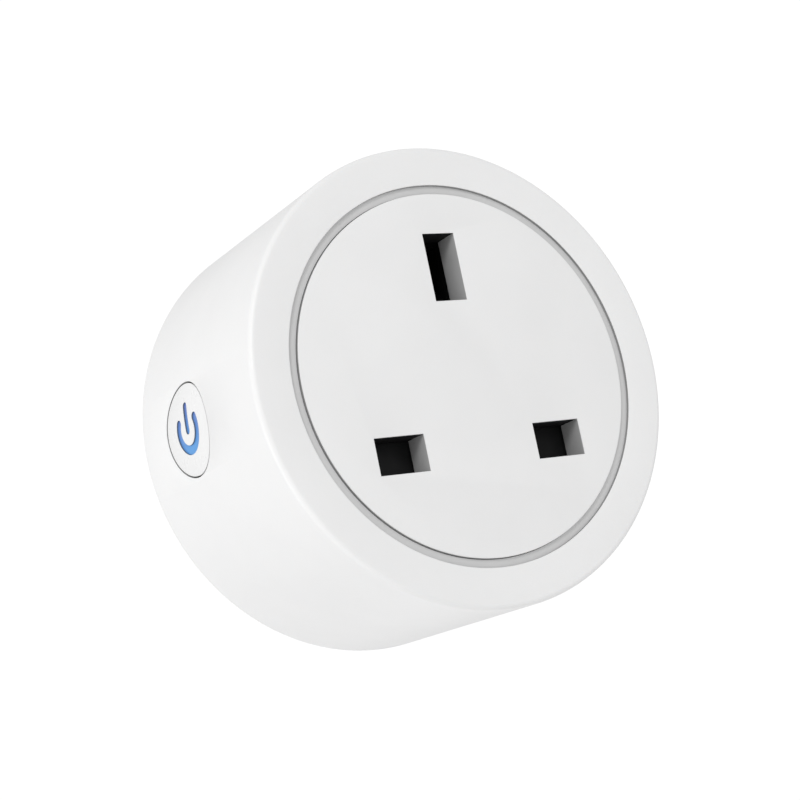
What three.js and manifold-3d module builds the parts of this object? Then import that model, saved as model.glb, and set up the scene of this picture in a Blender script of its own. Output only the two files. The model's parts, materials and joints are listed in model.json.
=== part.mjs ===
// Round plug-through smart plug for a wall socket with three square pins.
// Lengths are in millimetres. The origin is the centre of the rear face, which
// meets the wall socket. +Y runs into the wall along the pins, +Z is up with the
// earth pin at the top, and +X is to the right for someone facing the front.

import * as THREE from 'three';
import { mergeVertices } from 'three/addons/utils/BufferGeometryUtils.js';
import Module from 'manifold-3d';

const wasm = await Module();
wasm.setup();

// Enclosure
const BODY_RADIUS = 28.4;
const BODY_DEPTH = 32.4;
const WALL = 2.0;
const FRONT_FILLET = 0.7;
const REAR_FILLET = 1.5;
const RIM_THICKNESS = 2.0;
const FACE_RADIUS = 22.35;
const FACE_THICKNESS = 2.2;
const GROOVE_WIDTH = 1.1;
const GROOVE_DEPTH = 0.45;
const FLANGE_OVERLAP = 1.75;
const FLANGE_THICKNESS = 1.0;
const FLANGE_WEB = 1.0;
const COVER_THICKNESS = 2.0;

// Clearances
const FIT = 0.3;
const SEAT = 0.05;
const PIN_FIT = 0.15;
const SCREW_FIT = 0.2;

// Pin pattern, the same in front and behind
const PIN_SPREAD = 22.2;
const PIN_RISE = 22.2;
const PATTERN_DROP = 9.07;
const LINE_PIN = { width: 6.35, height: 3.97, length: 17.7 };
const EARTH_PIN = { width: 3.97, height: 7.92, length: 22.7 };
const PIN_TIP = 1.2;
const SLEEVE_LENGTH = 9.5;
const SLEEVE_WALL = 0.5;
const PIN_HEAD_LIP = 1.2;
const PIN_HEAD_THICKNESS = 1.7;
const PIN_TAIL = { width: 3.0, height: 1.2, proud: 0.8 };

// Socket side
const LINE_APERTURE = { width: 6.7, height: 4.4 };
const EARTH_APERTURE = { width: 4.4, height: 8.4 };
const TUNNEL_DEPTH = 3.6;
const TUNNEL_WALL = 1.1;
const SHUTTER_THICKNESS = 1.8;
const SHUTTER_MARGIN = 0.3;
const SHUTTER_BAR = 2.2;
const SHUTTER_STEM_WIDTH = 9.0;
const SPRING_TAB = 1.2;
const WEDGE_WIDTH = 5.8;
const CARRIER_EDGE = 1.2;
const CARRIER_THICKNESS = 1.4;
const CARRIER_WALL = 0.8;
const CONTACT_SHEET = 0.6;
const CONTACT_GRIP = 3.6;
const CONTACT_FLARE = 0.6;
const CONTACT_LENGTH = 10.8;
const CONTACT_SETBACK = 2.0;
const LINE_CONTACT_WIDTH = 5.6;
const EARTH_CONTACT_WIDTH = 7.2;
const RAIL_WIDTH = 1.2;
const SPRING = { radius: 1.3, wire: 0.4, turns: 6, length: 7.8 };
const BAR_SHEET = 0.8;
const BAR_WIDTH = 4.0;

// Screws and their bosses
const SCREW = { shank: 1.2, head: 2.4, headDepth: 1.2, length: 8.0 };
const BOSS_RADIUS = 2.5;
const BOSS_WEB = 1.6;
const SCREW_EDGE = 0.8;
const BOSS_ANGLES = [90, 210, 330];
const CARRIER_SCREW = { shank: 1.0, head: 2.0, headDepth: 1.0, length: 4.6 };
const CARRIER_BOSS_RADIUS = 2.2;
const CARRIER_SCREW_PLACE = { x: 12.0, z: 13.0 };

// Side button and the switch behind it
const BUTTON_RADIUS = 5.77;
const BUTTON_FROM_FRONT = 18.55;
const BUTTON_GAP = 0.17;
const BUTTON_LIP = 1.2;
const BUTTON_LIP_THICKNESS = 1.0;
const BUTTON_SKIN = 1.4;
const BUTTON_SIDE = 1.2;
const BUTTON_TRAVEL = 0.35;
const SYMBOL = { radius: 2.31, width: 1.08, openAngle: 68, barWidth: 0.86, barLow: -0.53, barHigh: 3.17 };
const SYMBOL_SHIFT = -0.1;
const SYMBOL_GAP = 0.08;
const TACT = { size: 6.0, depth: 3.0, plungerRadius: 1.7, plungerProud: 0.9, plungerHidden: 0.8 };
const LED = { width: 1.6, height: 1.6, depth: 0.8 };

// Boards and what stands on them
const BOARD_THICKNESS = 1.6;
const BOARD_EDGE = 1.0;
const BOARD_STANDOFF = 2.8;
const STANDOFF_RADIUS = 1.5;
const STANDOFF_PLACES = [[-16, 6], [16, 6], [0, -14]];
const CONTROL_BOARD = { thickness: 1.0, low: -7.0, high: 9.5, above: 7.0 };
const WIFI_MODULE = { thickness: 0.8, width: 11.0, length: 10.5, lift: 3.3 };
const WIFI_SHIELD = { thickness: 1.5, wall: 0.2, inset: 0.8, antenna: 2.6 };
const HEADER = { size: 2.2, length: 11.0, pins: 5 };
const RELAY = {
  length: 18.2, height: 14.6, width: 9.8, wall: 0.7, base: 1.7, headroom: 2.3,
  sheet: 0.9, sheetWidth: 6.0, hingeInset: 2.0,
  coreX: -2.2, coreRadius: 1.6, coreLip: 1.0, coreGap: 0.4, tube: 0.5, lip: 0.7, lipRadius: 3.6,
  contactInset: 2.2, contactRadius: 1.1, contactWidth: 4.0, contactGap: 0.55, rivet: 0.4,
};

// Places worked out from the sizes above
const FRONT = -BODY_DEPTH;
const INNER_RADIUS = BODY_RADIUS - WALL;
const RIM_HOLE_RADIUS = FACE_RADIUS + GROOVE_WIDTH;
const LEDGE_RADIUS = FACE_RADIUS + FIT;
const RIM_BACK = FRONT + RIM_THICKNESS;
const FLANGE_RADIUS = RIM_HOLE_RADIUS + FLANGE_OVERLAP;
const FLANGE_FRONT = RIM_BACK + FIT;
const FLANGE_BACK = FLANGE_FRONT + FLANGE_THICKNESS;
const FACE_BACK = FRONT + FACE_THICKNESS;
const LINE_Z = -PATTERN_DROP;
const EARTH_Z = PIN_RISE - PATTERN_DROP;
const LIVE_X = PIN_SPREAD / 2;
const SHUTTER_FRONT = FRONT + TUNNEL_DEPTH + FIT;
const SHUTTER_BACK = SHUTTER_FRONT + SHUTTER_THICKNESS;
const SHUTTER_TRAVEL = LINE_APERTURE.height + 2 * SHUTTER_MARGIN;
const SHUTTER_LOW = LINE_Z - LINE_APERTURE.height / 2 - 2 * SHUTTER_MARGIN;
const SHUTTER_HALF = LIVE_X + LINE_APERTURE.width / 2 + 1;
const WEDGE_BACK = SHUTTER_FRONT + SHUTTER_TRAVEL;
const CARRIER_FRONT = SHUTTER_BACK + FIT;
const CARRIER_BACK = CARRIER_FRONT + CARRIER_THICKNESS;
const CAVITY_HEIGHT = CONTACT_GRIP + 2 * (CONTACT_SHEET + CONTACT_FLARE) + 2 * FIT;
const LINE_MOUTH = CARRIER_FRONT + CONTACT_SETBACK;
const LINE_BASE = LINE_MOUTH + CONTACT_LENGTH;
const EARTH_MOUTH = WEDGE_BACK + FIT + CONTACT_SHEET;
const EARTH_BASE = EARTH_MOUTH + CONTACT_LENGTH;
const SPRING_Y = SHUTTER_BACK - SPRING.radius - SPRING.wire / 2;
const SPRING_SEAT_Z = SHUTTER_LOW - SPRING.length - 2 * SEAT;
const BOARD_BACK = -COVER_THICKNESS - BOARD_STANDOFF - SEAT;
const BOARD_FRONT = BOARD_BACK - BOARD_THICKNESS;
const BOARD_RADIUS = INNER_RADIUS - BOARD_EDGE;
const BOSS_AXIS_RADIUS = INNER_RADIUS - FIT - SCREW_EDGE - SCREW.head - SCREW_FIT;
const CARRIER_RADIUS = BOSS_AXIS_RADIUS - CARRIER_EDGE;
const BOSS_END = -COVER_THICKNESS - FIT;
const SCREW_TOP = -SEAT - SCREW_FIT;
const BUTTON_Y = FRONT + BUTTON_FROM_FRONT;
const LIP_RADIUS = BUTTON_RADIUS + BUTTON_LIP;
const LIP_FRONT_X = -(Math.sqrt(INNER_RADIUS ** 2 - LIP_RADIUS ** 2) - FIT);
const LIP_BACK_X = LIP_FRONT_X + BUTTON_LIP_THICKNESS;
const TACT_TIP_X = LIP_BACK_X - FIT;
const TACT_FACE_X = TACT_TIP_X + TACT.plungerProud;
const CONTROL_X = TACT_FACE_X + TACT.depth + SEAT;
const RELAY_Z = RELAY.width / 2 - Math.sqrt(BOARD_RADIUS ** 2 - (RELAY.length / 2) ** 2);

// Smoothness of round shapes
const BODY_SIDES = 80;
const ROD_SIDES = 24;
const SMALL_SIDES = 14;
const FILLET_STEPS = 3;
const MERGE_DISTANCE = 1e-5;
const REACH = 1;

const plastic = (color, roughness = 0.45) => new THREE.MeshStandardMaterial({ color, roughness });
const metal = (color, roughness = 0.3) => (
  new THREE.MeshStandardMaterial({ color, roughness, metalness: 1 })
);
const MATERIALS = {
  whiteShell: plastic(0xf2f2f2, 0.42),
  whiteFace: plastic(0xe7e7e7, 0.45),
  whiteButton: plastic(0xf4f4f4, 0.35),
  blueGuide: plastic(0x5b9bdb, 0.3),
  blackSleeve: plastic(0x1c1c1e, 0.5),
  darkShutter: plastic(0x2a2b2d, 0.5),
  blackCarrier: plastic(0x161617, 0.6),
  creamBobbin: plastic(0xded8c8, 0.5),
  brass: metal(0xc9a24a),
  steel: metal(0xb9bcc0),
  ironCore: metal(0x8d9094, 0.45),
  copper: metal(0xb8693a, 0.35),
  boardGreen: plastic(0x1f6b3f, 0.4),
  boardBlue: plastic(0x1d4e86, 0.4),
  relayBlue: plastic(0x2f6fb5, 0.4),
  blackBody: plastic(0x202124, 0.5),
  canSleeve: plastic(0x23303f, 0.35),
  boxYellow: plastic(0xd9b43a, 0.45),
  discBlue: plastic(0x2d66a8, 0.35),
  resistorGrey: plastic(0x7d8a86, 0.5),
  ferrite: plastic(0x3a3a3c, 0.7),
  ledClear: plastic(0xe9eef5, 0.15),
};

const model = new THREE.Group();

// Closed geometry to solid and back

function toSolid(geometry) {
  const bare = geometry.clone();
  bare.deleteAttribute('normal');
  bare.deleteAttribute('uv');
  const merged = mergeVertices(bare, MERGE_DISTANCE);
  return new wasm.Manifold(new wasm.Mesh({
    numProp: 3,
    vertProperties: new Float32Array(merged.attributes.position.array),
    triVerts: new Uint32Array(merged.index.array),
  }));
}

function toGeometry(solid) {
  const mesh = solid.getMesh();
  const geometry = new THREE.BufferGeometry();
  geometry.setAttribute('position', new THREE.BufferAttribute(mesh.vertProperties, 3));
  geometry.setIndex(new THREE.BufferAttribute(mesh.triVerts, 1));
  geometry.computeVertexNormals();
  return geometry;
}

function addPiece(parent, name, solid, material) {
  const mesh = new THREE.Mesh(toGeometry(solid), material);
  mesh.name = name;
  parent.add(mesh);
  return mesh;
}

const joined = (solids) => solids.reduce((whole, solid) => whole.add(solid));
const cut = (solid, tools) => tools.reduce((rest, tool) => rest.subtract(tool), solid);

// Basic solids

function block([x0, x1], [y0, y1], [z0, z1]) {
  const geometry = new THREE.BoxGeometry(x1 - x0, y1 - y0, z1 - z0);
  return toSolid(geometry.translate((x0 + x1) / 2, (y0 + y1) / 2, (z0 + z1) / 2));
}

const around = (middle, size) => [middle - size / 2, middle + size / 2];

// A rod along Y from y0 to y1, whose far end may have another radius.
function rod(radius, [y0, y1], { x = 0, z = 0, sides = ROD_SIDES, farRadius = radius } = {}) {
  const geometry = new THREE.CylinderGeometry(farRadius, radius, y1 - y0, sides);
  return toSolid(geometry.translate(x, (y0 + y1) / 2, z));
}

// A rod along X from x0 to x1.
function sideRod(radius, [x0, x1], y, z = 0, sides = ROD_SIDES) {
  const geometry = new THREE.CylinderGeometry(radius, radius, x1 - x0, sides);
  return toSolid(geometry.rotateZ(Math.PI / 2).translate((x0 + x1) / 2, y, z));
}

// A closed outline of [radius, y] points turned about the Y axis.
function turned(outline, sides = ROD_SIDES) {
  const points = outline.map(([r, y]) => new THREE.Vector2(r, y));
  if (THREE.ShapeUtils.area(points) < 0) points.reverse();
  const closed = [...points, points[0].clone()];
  return toSolid(new THREE.LatheGeometry(closed, sides));
}

// A shape drawn in Z and Y and pushed along X across width, centred on x.
function acrossX(shape, width, x = 0) {
  const geometry = new THREE.ExtrudeGeometry(shape, { depth: width, bevelEnabled: false });
  return toSolid(geometry.rotateY(-Math.PI / 2).translate(x + width / 2, 0, 0));
}

// A shape drawn in X and Y and pushed along Z across width, centred on z.
function acrossZ(shape, width, z = 0) {
  const geometry = new THREE.ExtrudeGeometry(shape, { depth: width, bevelEnabled: false });
  return toSolid(geometry.translate(0, 0, z - width / 2));
}

// The outline of sheet metal of one thickness that follows a path.
function sheetOutline(path, thickness) {
  const points = path.map(([a, b]) => new THREE.Vector2(a, b));
  const direction = (i) => points[i + 1].clone().sub(points[i]).normalize();
  const offset = (sign) => points.map((point, i) => {
    const before = direction(Math.max(i - 1, 0));
    const after = direction(Math.min(i, points.length - 2));
    const along = before.clone().add(after).normalize();
    const normal = new THREE.Vector2(-along.y, along.x);
    const mitre = along.dot(before);
    return point.clone().addScaledVector(normal, (sign * thickness) / (2 * mitre));
  });
  return new THREE.Shape([...offset(1), ...offset(-1).reverse()]);
}

// Points of a quarter circle from angle a0 to a1 in degrees, ends included.
function arcPoints(centreR, centreY, radius, a0, a1) {
  return Array.from({ length: FILLET_STEPS + 1 }, (_, i) => {
    const a = THREE.MathUtils.degToRad(a0 + ((a1 - a0) * i) / FILLET_STEPS);
    return [centreR + radius * Math.cos(a), centreY + radius * Math.sin(a)];
  });
}

function onCircle(radius, degrees) {
  const a = THREE.MathUtils.degToRad(degrees);
  return { x: radius * Math.cos(a), z: radius * Math.sin(a) };
}

// The three pin places, with the section of the pin and of the aperture there
const LINES = [
  { name: 'live', x: LIVE_X, z: LINE_Z, pin: LINE_PIN, aperture: LINE_APERTURE },
  { name: 'neutral', x: -LIVE_X, z: LINE_Z, pin: LINE_PIN, aperture: LINE_APERTURE },
];
const EARTH = { name: 'earth', x: 0, z: EARTH_Z, pin: EARTH_PIN, aperture: EARTH_APERTURE };
const POLES = [...LINES, EARTH];

const poleBlock = (pole, size, yRange, grow = 0) => block(
  around(pole.x, size.width + 2 * grow),
  yRange,
  around(pole.z, size.height + 2 * grow),
);

// Enclosure

function frontHousing() {
  const shell = turned([
    [RIM_HOLE_RADIUS, FRONT],
    ...arcPoints(BODY_RADIUS - FRONT_FILLET, FRONT + FRONT_FILLET, FRONT_FILLET, -90, 0),
    ...arcPoints(BODY_RADIUS - REAR_FILLET, -REAR_FILLET, REAR_FILLET, 0, 90),
    [INNER_RADIUS, 0],
    [INNER_RADIUS, RIM_BACK],
    [LEDGE_RADIUS, RIM_BACK],
    [LEDGE_RADIUS, FRONT + GROOVE_DEPTH],
    [RIM_HOLE_RADIUS, FRONT + GROOVE_DEPTH],
  ], BODY_SIDES);
  const bossRange = [CARRIER_BACK + FIT, BOSS_END];
  const bosses = BOSS_ANGLES.flatMap((angle) => [
    rod(BOSS_RADIUS, bossRange, onCircle(BOSS_AXIS_RADIUS, angle)),
    block([BOSS_AXIS_RADIUS, INNER_RADIUS + WALL / 2], bossRange, around(0, BOSS_WEB))
      .rotate([0, -angle, 0]),
  ]);
  const pilots = BOSS_ANGLES.map((angle) => rod(
    SCREW.shank + SCREW_FIT,
    [BOSS_END - SCREW.length, BOSS_END + REACH],
    { ...onCircle(BOSS_AXIS_RADIUS, angle), sides: SMALL_SIDES },
  ));
  const buttonHole = sideRod(
    BUTTON_RADIUS,
    [-BODY_RADIUS - REACH, -BODY_RADIUS + 2 * WALL],
    BUTTON_Y,
    0,
    BODY_SIDES / 2,
  );
  return cut(joined([shell, ...bosses]), [...pilots, buttonHole]);
}

function facePlate() {
  const plate = turned([
    [0, FRONT],
    [FACE_RADIUS, FRONT],
    [FACE_RADIUS, FLANGE_FRONT],
    [FLANGE_RADIUS, FLANGE_FRONT],
    [FLANGE_RADIUS, FLANGE_BACK],
    [FACE_RADIUS - FLANGE_WEB, FLANGE_BACK],
    [FACE_RADIUS - FLANGE_WEB, FACE_BACK],
    [0, FACE_BACK],
  ], BODY_SIDES);
  const tunnelEnd = FRONT + TUNNEL_DEPTH;
  const inside = rod(FACE_RADIUS, [FACE_BACK - FIT, tunnelEnd]);
  const tunnels = POLES.map((pole) => (
    poleBlock(pole, pole.aperture, [FACE_BACK - FIT, tunnelEnd], TUNNEL_WALL).intersect(inside)
  ));
  const bosses = [-1, 1].map((side) => rod(
    CARRIER_BOSS_RADIUS,
    [FACE_BACK - FIT, CARRIER_FRONT - SEAT],
    { x: side * CARRIER_SCREW_PLACE.x, z: CARRIER_SCREW_PLACE.z },
  ));
  const pilots = [-1, 1].map((side) => rod(
    CARRIER_SCREW.shank + SCREW_FIT,
    [FACE_BACK, CARRIER_FRONT + REACH],
    { x: side * CARRIER_SCREW_PLACE.x, z: CARRIER_SCREW_PLACE.z, sides: SMALL_SIDES },
  ));
  const apertures = POLES.map((pole) => (
    poleBlock(pole, pole.aperture, [FRONT - REACH, tunnelEnd + REACH])
  ));
  return cut(joined([plate, ...tunnels, ...bosses]), [...pilots, ...apertures]);
}

function rearCover() {
  const inside = -COVER_THICKNESS;
  const disc = rod(INNER_RADIUS - FIT, [inside, 0], { sides: BODY_SIDES });
  const standoffs = STANDOFF_PLACES.map(([x, z]) => (
    rod(STANDOFF_RADIUS, [inside - BOARD_STANDOFF, inside + SEAT], { x, z, sides: SMALL_SIDES })
  ));
  const pinHoles = POLES.map((pole) => (
    poleBlock(pole, pole.pin, [inside - REACH, REACH], PIN_FIT)
  ));
  const screwHoles = BOSS_ANGLES.flatMap((angle) => {
    const place = onCircle(BOSS_AXIS_RADIUS, angle);
    const shaft = SCREW.shank + SCREW_FIT;
    const head = SCREW.head + SCREW_FIT;
    return [
      rod(shaft, [inside - REACH, REACH], { ...place, sides: SMALL_SIDES }),
      rod(shaft, [SCREW_TOP - SCREW.headDepth, SCREW_TOP], { ...place, farRadius: head }),
      rod(head, [SCREW_TOP - SEAT, REACH], place),
    ];
  });
  return cut(joined([disc, ...standoffs]), [...pinHoles, ...screwHoles]);
}

// A screw along Y with its head at the +Y end, and a cross recess in the head.
function screw({ shank, head, headDepth, length }, headTop, underHead) {
  const recess = { width: head * 0.35, long: head * 1.2, depth: headDepth * 0.6 };
  const tip = headTop - length;
  const whole = joined([
    rod(shank * 0.6, [tip, tip + shank], { farRadius: shank, sides: SMALL_SIDES }),
    rod(shank, [tip + shank, headTop - headDepth + SEAT], { sides: SMALL_SIDES }),
    rod(underHead, [headTop - headDepth, headTop], { farRadius: head, sides: ROD_SIDES }),
  ]);
  return cut(whole, [
    block(around(0, recess.width), [headTop - recess.depth, headTop + REACH], around(0, recess.long)),
    block(around(0, recess.long), [headTop - recess.depth, headTop + REACH], around(0, recess.width)),
  ]);
}

function addScrews() {
  BOSS_ANGLES.forEach((angle, i) => {
    const solid = screw(SCREW, SCREW_TOP, SCREW.shank);
    const mesh = addPiece(model, `rear_screw_${i + 1}`, solid, MATERIALS.steel);
    const place = onCircle(BOSS_AXIS_RADIUS, angle);
    mesh.position.set(place.x, 0, place.z);
  });
  const carrierHeadTop = CARRIER_BACK + SEAT + CARRIER_SCREW.headDepth;
  const { head } = CARRIER_SCREW;
  [-1, 1].forEach((side, i) => {
    const solid = screw(CARRIER_SCREW, carrierHeadTop, head);
    const mesh = addPiece(model, `carrier_screw_${i + 1}`, solid, MATERIALS.steel);
    mesh.position.set(side * CARRIER_SCREW_PLACE.x, 0, CARRIER_SCREW_PLACE.z);
  });
}

// Pins of the wall side

function taperedBlade({ width, height, length }, start) {
  const half = { w: width / 2 - PIN_TIP / 2, h: height / 2 - PIN_TIP / 2 };
  const section = new THREE.Shape([
    new THREE.Vector2(-half.w, -half.h),
    new THREE.Vector2(half.w, -half.h),
    new THREE.Vector2(half.w, half.h),
    new THREE.Vector2(-half.w, half.h),
  ]);
  const geometry = new THREE.ExtrudeGeometry(section, {
    depth: length - start,
    bevelEnabled: true,
    bevelThickness: PIN_TIP,
    bevelSize: PIN_TIP / 2,
    bevelSegments: 2,
  });
  const blade = toSolid(geometry.rotateX(Math.PI / 2).translate(0, length - PIN_TIP, 0));
  return blade.intersect(block(around(0, 2 * width), [start, length], around(0, 2 * height)));
}

function pin(size, sleeved) {
  const headBack = -COVER_THICKNESS - FIT;
  const headFront = headBack - PIN_HEAD_THICKNESS;
  const slim = sleeved ? 2 * (SLEEVE_WALL + PIN_FIT) : 0;
  const bladeStart = sleeved ? SLEEVE_LENGTH + SEAT : headBack;
  const lip = 2 * PIN_HEAD_LIP;
  return joined([
    taperedBlade(size, bladeStart),
    block(around(0, size.width - slim), [headBack - SEAT, bladeStart + SEAT], around(0, size.height - slim)),
    block(around(0, size.width + lip), [headFront, headBack], around(0, size.height + lip)),
    block(
      around(0, PIN_TAIL.width),
      [BOARD_FRONT - PIN_TAIL.proud, headFront + SEAT],
      around(0, PIN_TAIL.height),
    ),
  ]);
}

function pinSleeve({ width, height }) {
  const start = -COVER_THICKNESS;
  const bore = 2 * SLEEVE_WALL;
  return cut(
    block(around(0, width), [start, SLEEVE_LENGTH], around(0, height)),
    [block(
      around(0, width - bore),
      [start - REACH, SLEEVE_LENGTH + REACH],
      around(0, height - bore),
    )],
  );
}

function addPins() {
  for (const pole of POLES) {
    const sleeved = pole !== EARTH;
    const mesh = addPiece(model, `${pole.name}_pin`, pin(pole.pin, sleeved), MATERIALS.brass);
    mesh.position.set(pole.x, 0, pole.z);
    if (sleeved) {
      const sleeve = addPiece(model, `${pole.name}_pin_sleeve`, pinSleeve(pole.pin), MATERIALS.blackSleeve);
      sleeve.position.set(pole.x, 0, pole.z);
    }
  }
}

// Socket side: contacts, their carrier, and the child-safety shutter

// A brass clip: two leaves that grip the pin from both sides, joined at the base.
function contactClip(width, mouth, base) {
  const grip = (CONTACT_GRIP + CONTACT_SHEET) / 2;
  const flareStart = mouth + 2 * CONTACT_FLARE;
  const outline = sheetOutline([
    [grip + CONTACT_FLARE, mouth],
    [grip, flareStart],
    [grip, base],
    [-grip, base],
    [-grip, flareStart],
    [-grip - CONTACT_FLARE, mouth],
  ], CONTACT_SHEET);
  return acrossX(outline, width);
}

function addContacts() {
  for (const line of LINES) {
    const clip = contactClip(LINE_CONTACT_WIDTH, LINE_MOUTH, LINE_BASE);
    const mesh = addPiece(model, `${line.name}_contact`, clip, MATERIALS.brass);
    mesh.position.set(line.x, 0, line.z);
  }
  const clip = contactClip(EARTH_CONTACT_WIDTH, EARTH_MOUTH, EARTH_BASE);
  const mesh = addPiece(model, 'earth_contact', clip, MATERIALS.brass);
  mesh.position.set(EARTH.x, 0, EARTH.z);
  mesh.rotation.y = Math.PI / 2;
}

const LINE_CAVITY = { width: LINE_PIN.width + 3 * FIT, height: CAVITY_HEIGHT };
const EARTH_CAVITY = { width: CAVITY_HEIGHT, height: EARTH_PIN.height + 3 * FIT };
const cavityOf = (pole) => (pole === EARTH ? EARTH_CAVITY : LINE_CAVITY);
const baseOf = (pole) => (pole === EARTH ? EARTH_BASE : LINE_BASE);

function contactCarrier() {
  const plate = rod(CARRIER_RADIUS, [CARRIER_FRONT, CARRIER_BACK], { sides: BODY_SIDES / 2 });
  const tubes = POLES.map((pole) => (
    poleBlock(pole, cavityOf(pole), [CARRIER_FRONT, baseOf(pole)], CARRIER_WALL)
  ));
  const railFront = FACE_BACK + FIT;
  const railMiddle = SHUTTER_HALF + FIT + RAIL_WIDTH / 2;
  const rails = [-1, 1].map((side) => block(
    around(side * railMiddle, RAIL_WIDTH),
    [railFront, CARRIER_FRONT + SEAT],
    [SHUTTER_LOW, -LINE_APERTURE.height / 2],
  ));
  const seat = block(
    around(0, 2 * (SPRING.radius + SPRING.wire)),
    [railFront, CARRIER_FRONT + SEAT],
    [SPRING_SEAT_Z - CARRIER_WALL, SPRING_SEAT_Z],
  );
  const cavities = POLES.map((pole) => (
    poleBlock(pole, cavityOf(pole), [CARRIER_FRONT - REACH, baseOf(pole) + REACH])
  ));
  const wedgePath = block(
    around(0, WEDGE_WIDTH + 2 * FIT),
    [CARRIER_FRONT - REACH, WEDGE_BACK + FIT],
    [wedgeLow() - SHUTTER_TRAVEL - FIT, EARTH_Z],
  );
  const screwHoles = [-1, 1].map((side) => rod(
    CARRIER_SCREW.shank + SCREW_FIT,
    [CARRIER_FRONT - REACH, CARRIER_BACK + REACH],
    { x: side * CARRIER_SCREW_PLACE.x, z: CARRIER_SCREW_PLACE.z, sides: SMALL_SIDES },
  ));
  return cut(joined([plate, ...tubes, ...rails, seat]), [...cavities, wedgePath, ...screwHoles]);
}

const wedgeTop = () => EARTH_Z - EARTH_APERTURE.height / 2 - FIT / 3;
const wedgeLow = () => wedgeTop() - SHUTTER_TRAVEL + SHUTTER_MARGIN;

// The shutter closes the line apertures at rest. The earth pin slides down its
// wedge and pushes it down until its windows stand behind the apertures.
function safetyShutter() {
  const yRange = [SHUTTER_FRONT, SHUTTER_BACK];
  const windowLow = LINE_Z + LINE_APERTURE.height / 2 + SHUTTER_MARGIN;
  const windowHigh = windowLow + SHUTTER_TRAVEL;
  const blade = block([-SHUTTER_HALF, SHUTTER_HALF], yRange, [SHUTTER_LOW, windowHigh + SHUTTER_BAR]);
  const windows = LINES.map((line) => block(
    around(line.x, line.aperture.width + 2 * SHUTTER_MARGIN),
    [SHUTTER_FRONT - REACH, SHUTTER_BACK + REACH],
    [windowLow, windowHigh],
  ));
  const stem = block(around(0, SHUTTER_STEM_WIDTH), yRange, [windowLow, wedgeLow() + SHUTTER_MARGIN]);
  const springTab = block(
    around(0, 2 * (SPRING.radius + SPRING.wire)),
    [FACE_BACK + FIT, SHUTTER_BACK],
    [SHUTTER_LOW, SHUTTER_LOW + SPRING_TAB],
  );
  const wedge = acrossX(new THREE.Shape([
    new THREE.Vector2(wedgeTop(), SHUTTER_FRONT),
    new THREE.Vector2(wedgeTop() + SHUTTER_TRAVEL, WEDGE_BACK),
    new THREE.Vector2(wedgeLow() + SHUTTER_MARGIN, WEDGE_BACK),
    new THREE.Vector2(wedgeLow(), SHUTTER_BACK),
    new THREE.Vector2(wedgeLow(), SHUTTER_FRONT),
  ]), WEDGE_WIDTH);
  return joined([cut(blade, windows), stem, springTab, wedge]);
}

// The centre line of the coil, standing along Z.
class SpringLine extends THREE.Curve {
  getPoint(t, target = new THREE.Vector3()) {
    const a = 2 * Math.PI * SPRING.turns * t;
    const climb = (SPRING.length - SPRING.wire) * t + SPRING.wire / 2;
    return target.set(SPRING.radius * Math.cos(a), SPRING.radius * Math.sin(a), climb);
  }
}

function addShutter() {
  addPiece(model, 'safety_shutter', safetyShutter(), MATERIALS.darkShutter);
  const section = new THREE.Shape();
  section.absarc(0, 0, SPRING.wire / 2, 0, 2 * Math.PI);
  const coil = new THREE.ExtrudeGeometry(section, {
    steps: SPRING.turns * 10,
    curveSegments: 3,
    bevelEnabled: false,
    extrudePath: new SpringLine(),
  });
  const spring = addPiece(model, 'shutter_spring', toSolid(coil), MATERIALS.steel);
  spring.position.set(0, SPRING_Y, SPRING_SEAT_Z + SEAT);
}

// A bent brass bar from the base of a contact to the main board.
function contactBar(base, reach) {
  const start = base + CONTACT_SHEET / 2 + SEAT + BAR_SHEET / 2;
  return acrossX(sheetOutline([
    [0, start],
    [reach, start],
    [reach, BOARD_FRONT - SEAT],
  ], BAR_SHEET), BAR_WIDTH);
}

function addContactBars() {
  const lineReach = -LINE_CAVITY.height / 2 - BAR_SHEET / 2;
  const bars = [
    { pole: LINES[0], name: 'switched_live_bar', reach: lineReach },
    { pole: LINES[1], name: 'neutral_bar', reach: lineReach },
    { pole: EARTH, name: 'earth_bar', reach: EARTH_CAVITY.height / 2 },
  ];
  for (const { pole, name, reach } of bars) {
    const mesh = addPiece(model, name, contactBar(baseOf(pole), reach), MATERIALS.brass);
    mesh.position.set(pole.x, 0, pole.z);
  }
}

// Side button

// Outlines of the power symbol in Z and Y: an upright bar and a ring open at the top.
function symbolShapes(grow) {
  const barHalf = SYMBOL.barWidth / 2;
  const bar = new THREE.Shape();
  bar.absarc(SYMBOL.barHigh - barHalf, 0, barHalf + grow, -Math.PI / 2, Math.PI / 2);
  bar.absarc(SYMBOL.barLow + barHalf, 0, barHalf + grow, Math.PI / 2, (3 * Math.PI) / 2);
  const half = SYMBOL.width / 2 + grow;
  const open = THREE.MathUtils.degToRad(SYMBOL.openAngle);
  const end = (angle) => [SYMBOL.radius * Math.cos(angle), SYMBOL.radius * Math.sin(angle)];
  const ring = new THREE.Shape();
  ring.absarc(0, 0, SYMBOL.radius + half, open, 2 * Math.PI - open);
  ring.absarc(...end(-open), half, -open, Math.PI - open);
  ring.absarc(0, 0, SYMBOL.radius - half, 2 * Math.PI - open, open, true);
  ring.absarc(...end(open), half, Math.PI + open, open + 2 * Math.PI);
  return [bar, ring];
}

function symbolSolids(grow, [x0, x1]) {
  return symbolShapes(grow).map((shape) => {
    const geometry = new THREE.ExtrudeGeometry(shape, {
      depth: x1 - x0, bevelEnabled: false, curveSegments: 10,
    });
    return toSolid(geometry.rotateY(-Math.PI / 2).translate(x1, BUTTON_Y + SYMBOL_SHIFT, 0));
  });
}

const bodyCore = (radius) => rod(radius, [FRONT, 0], { sides: BODY_SIDES });

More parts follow.
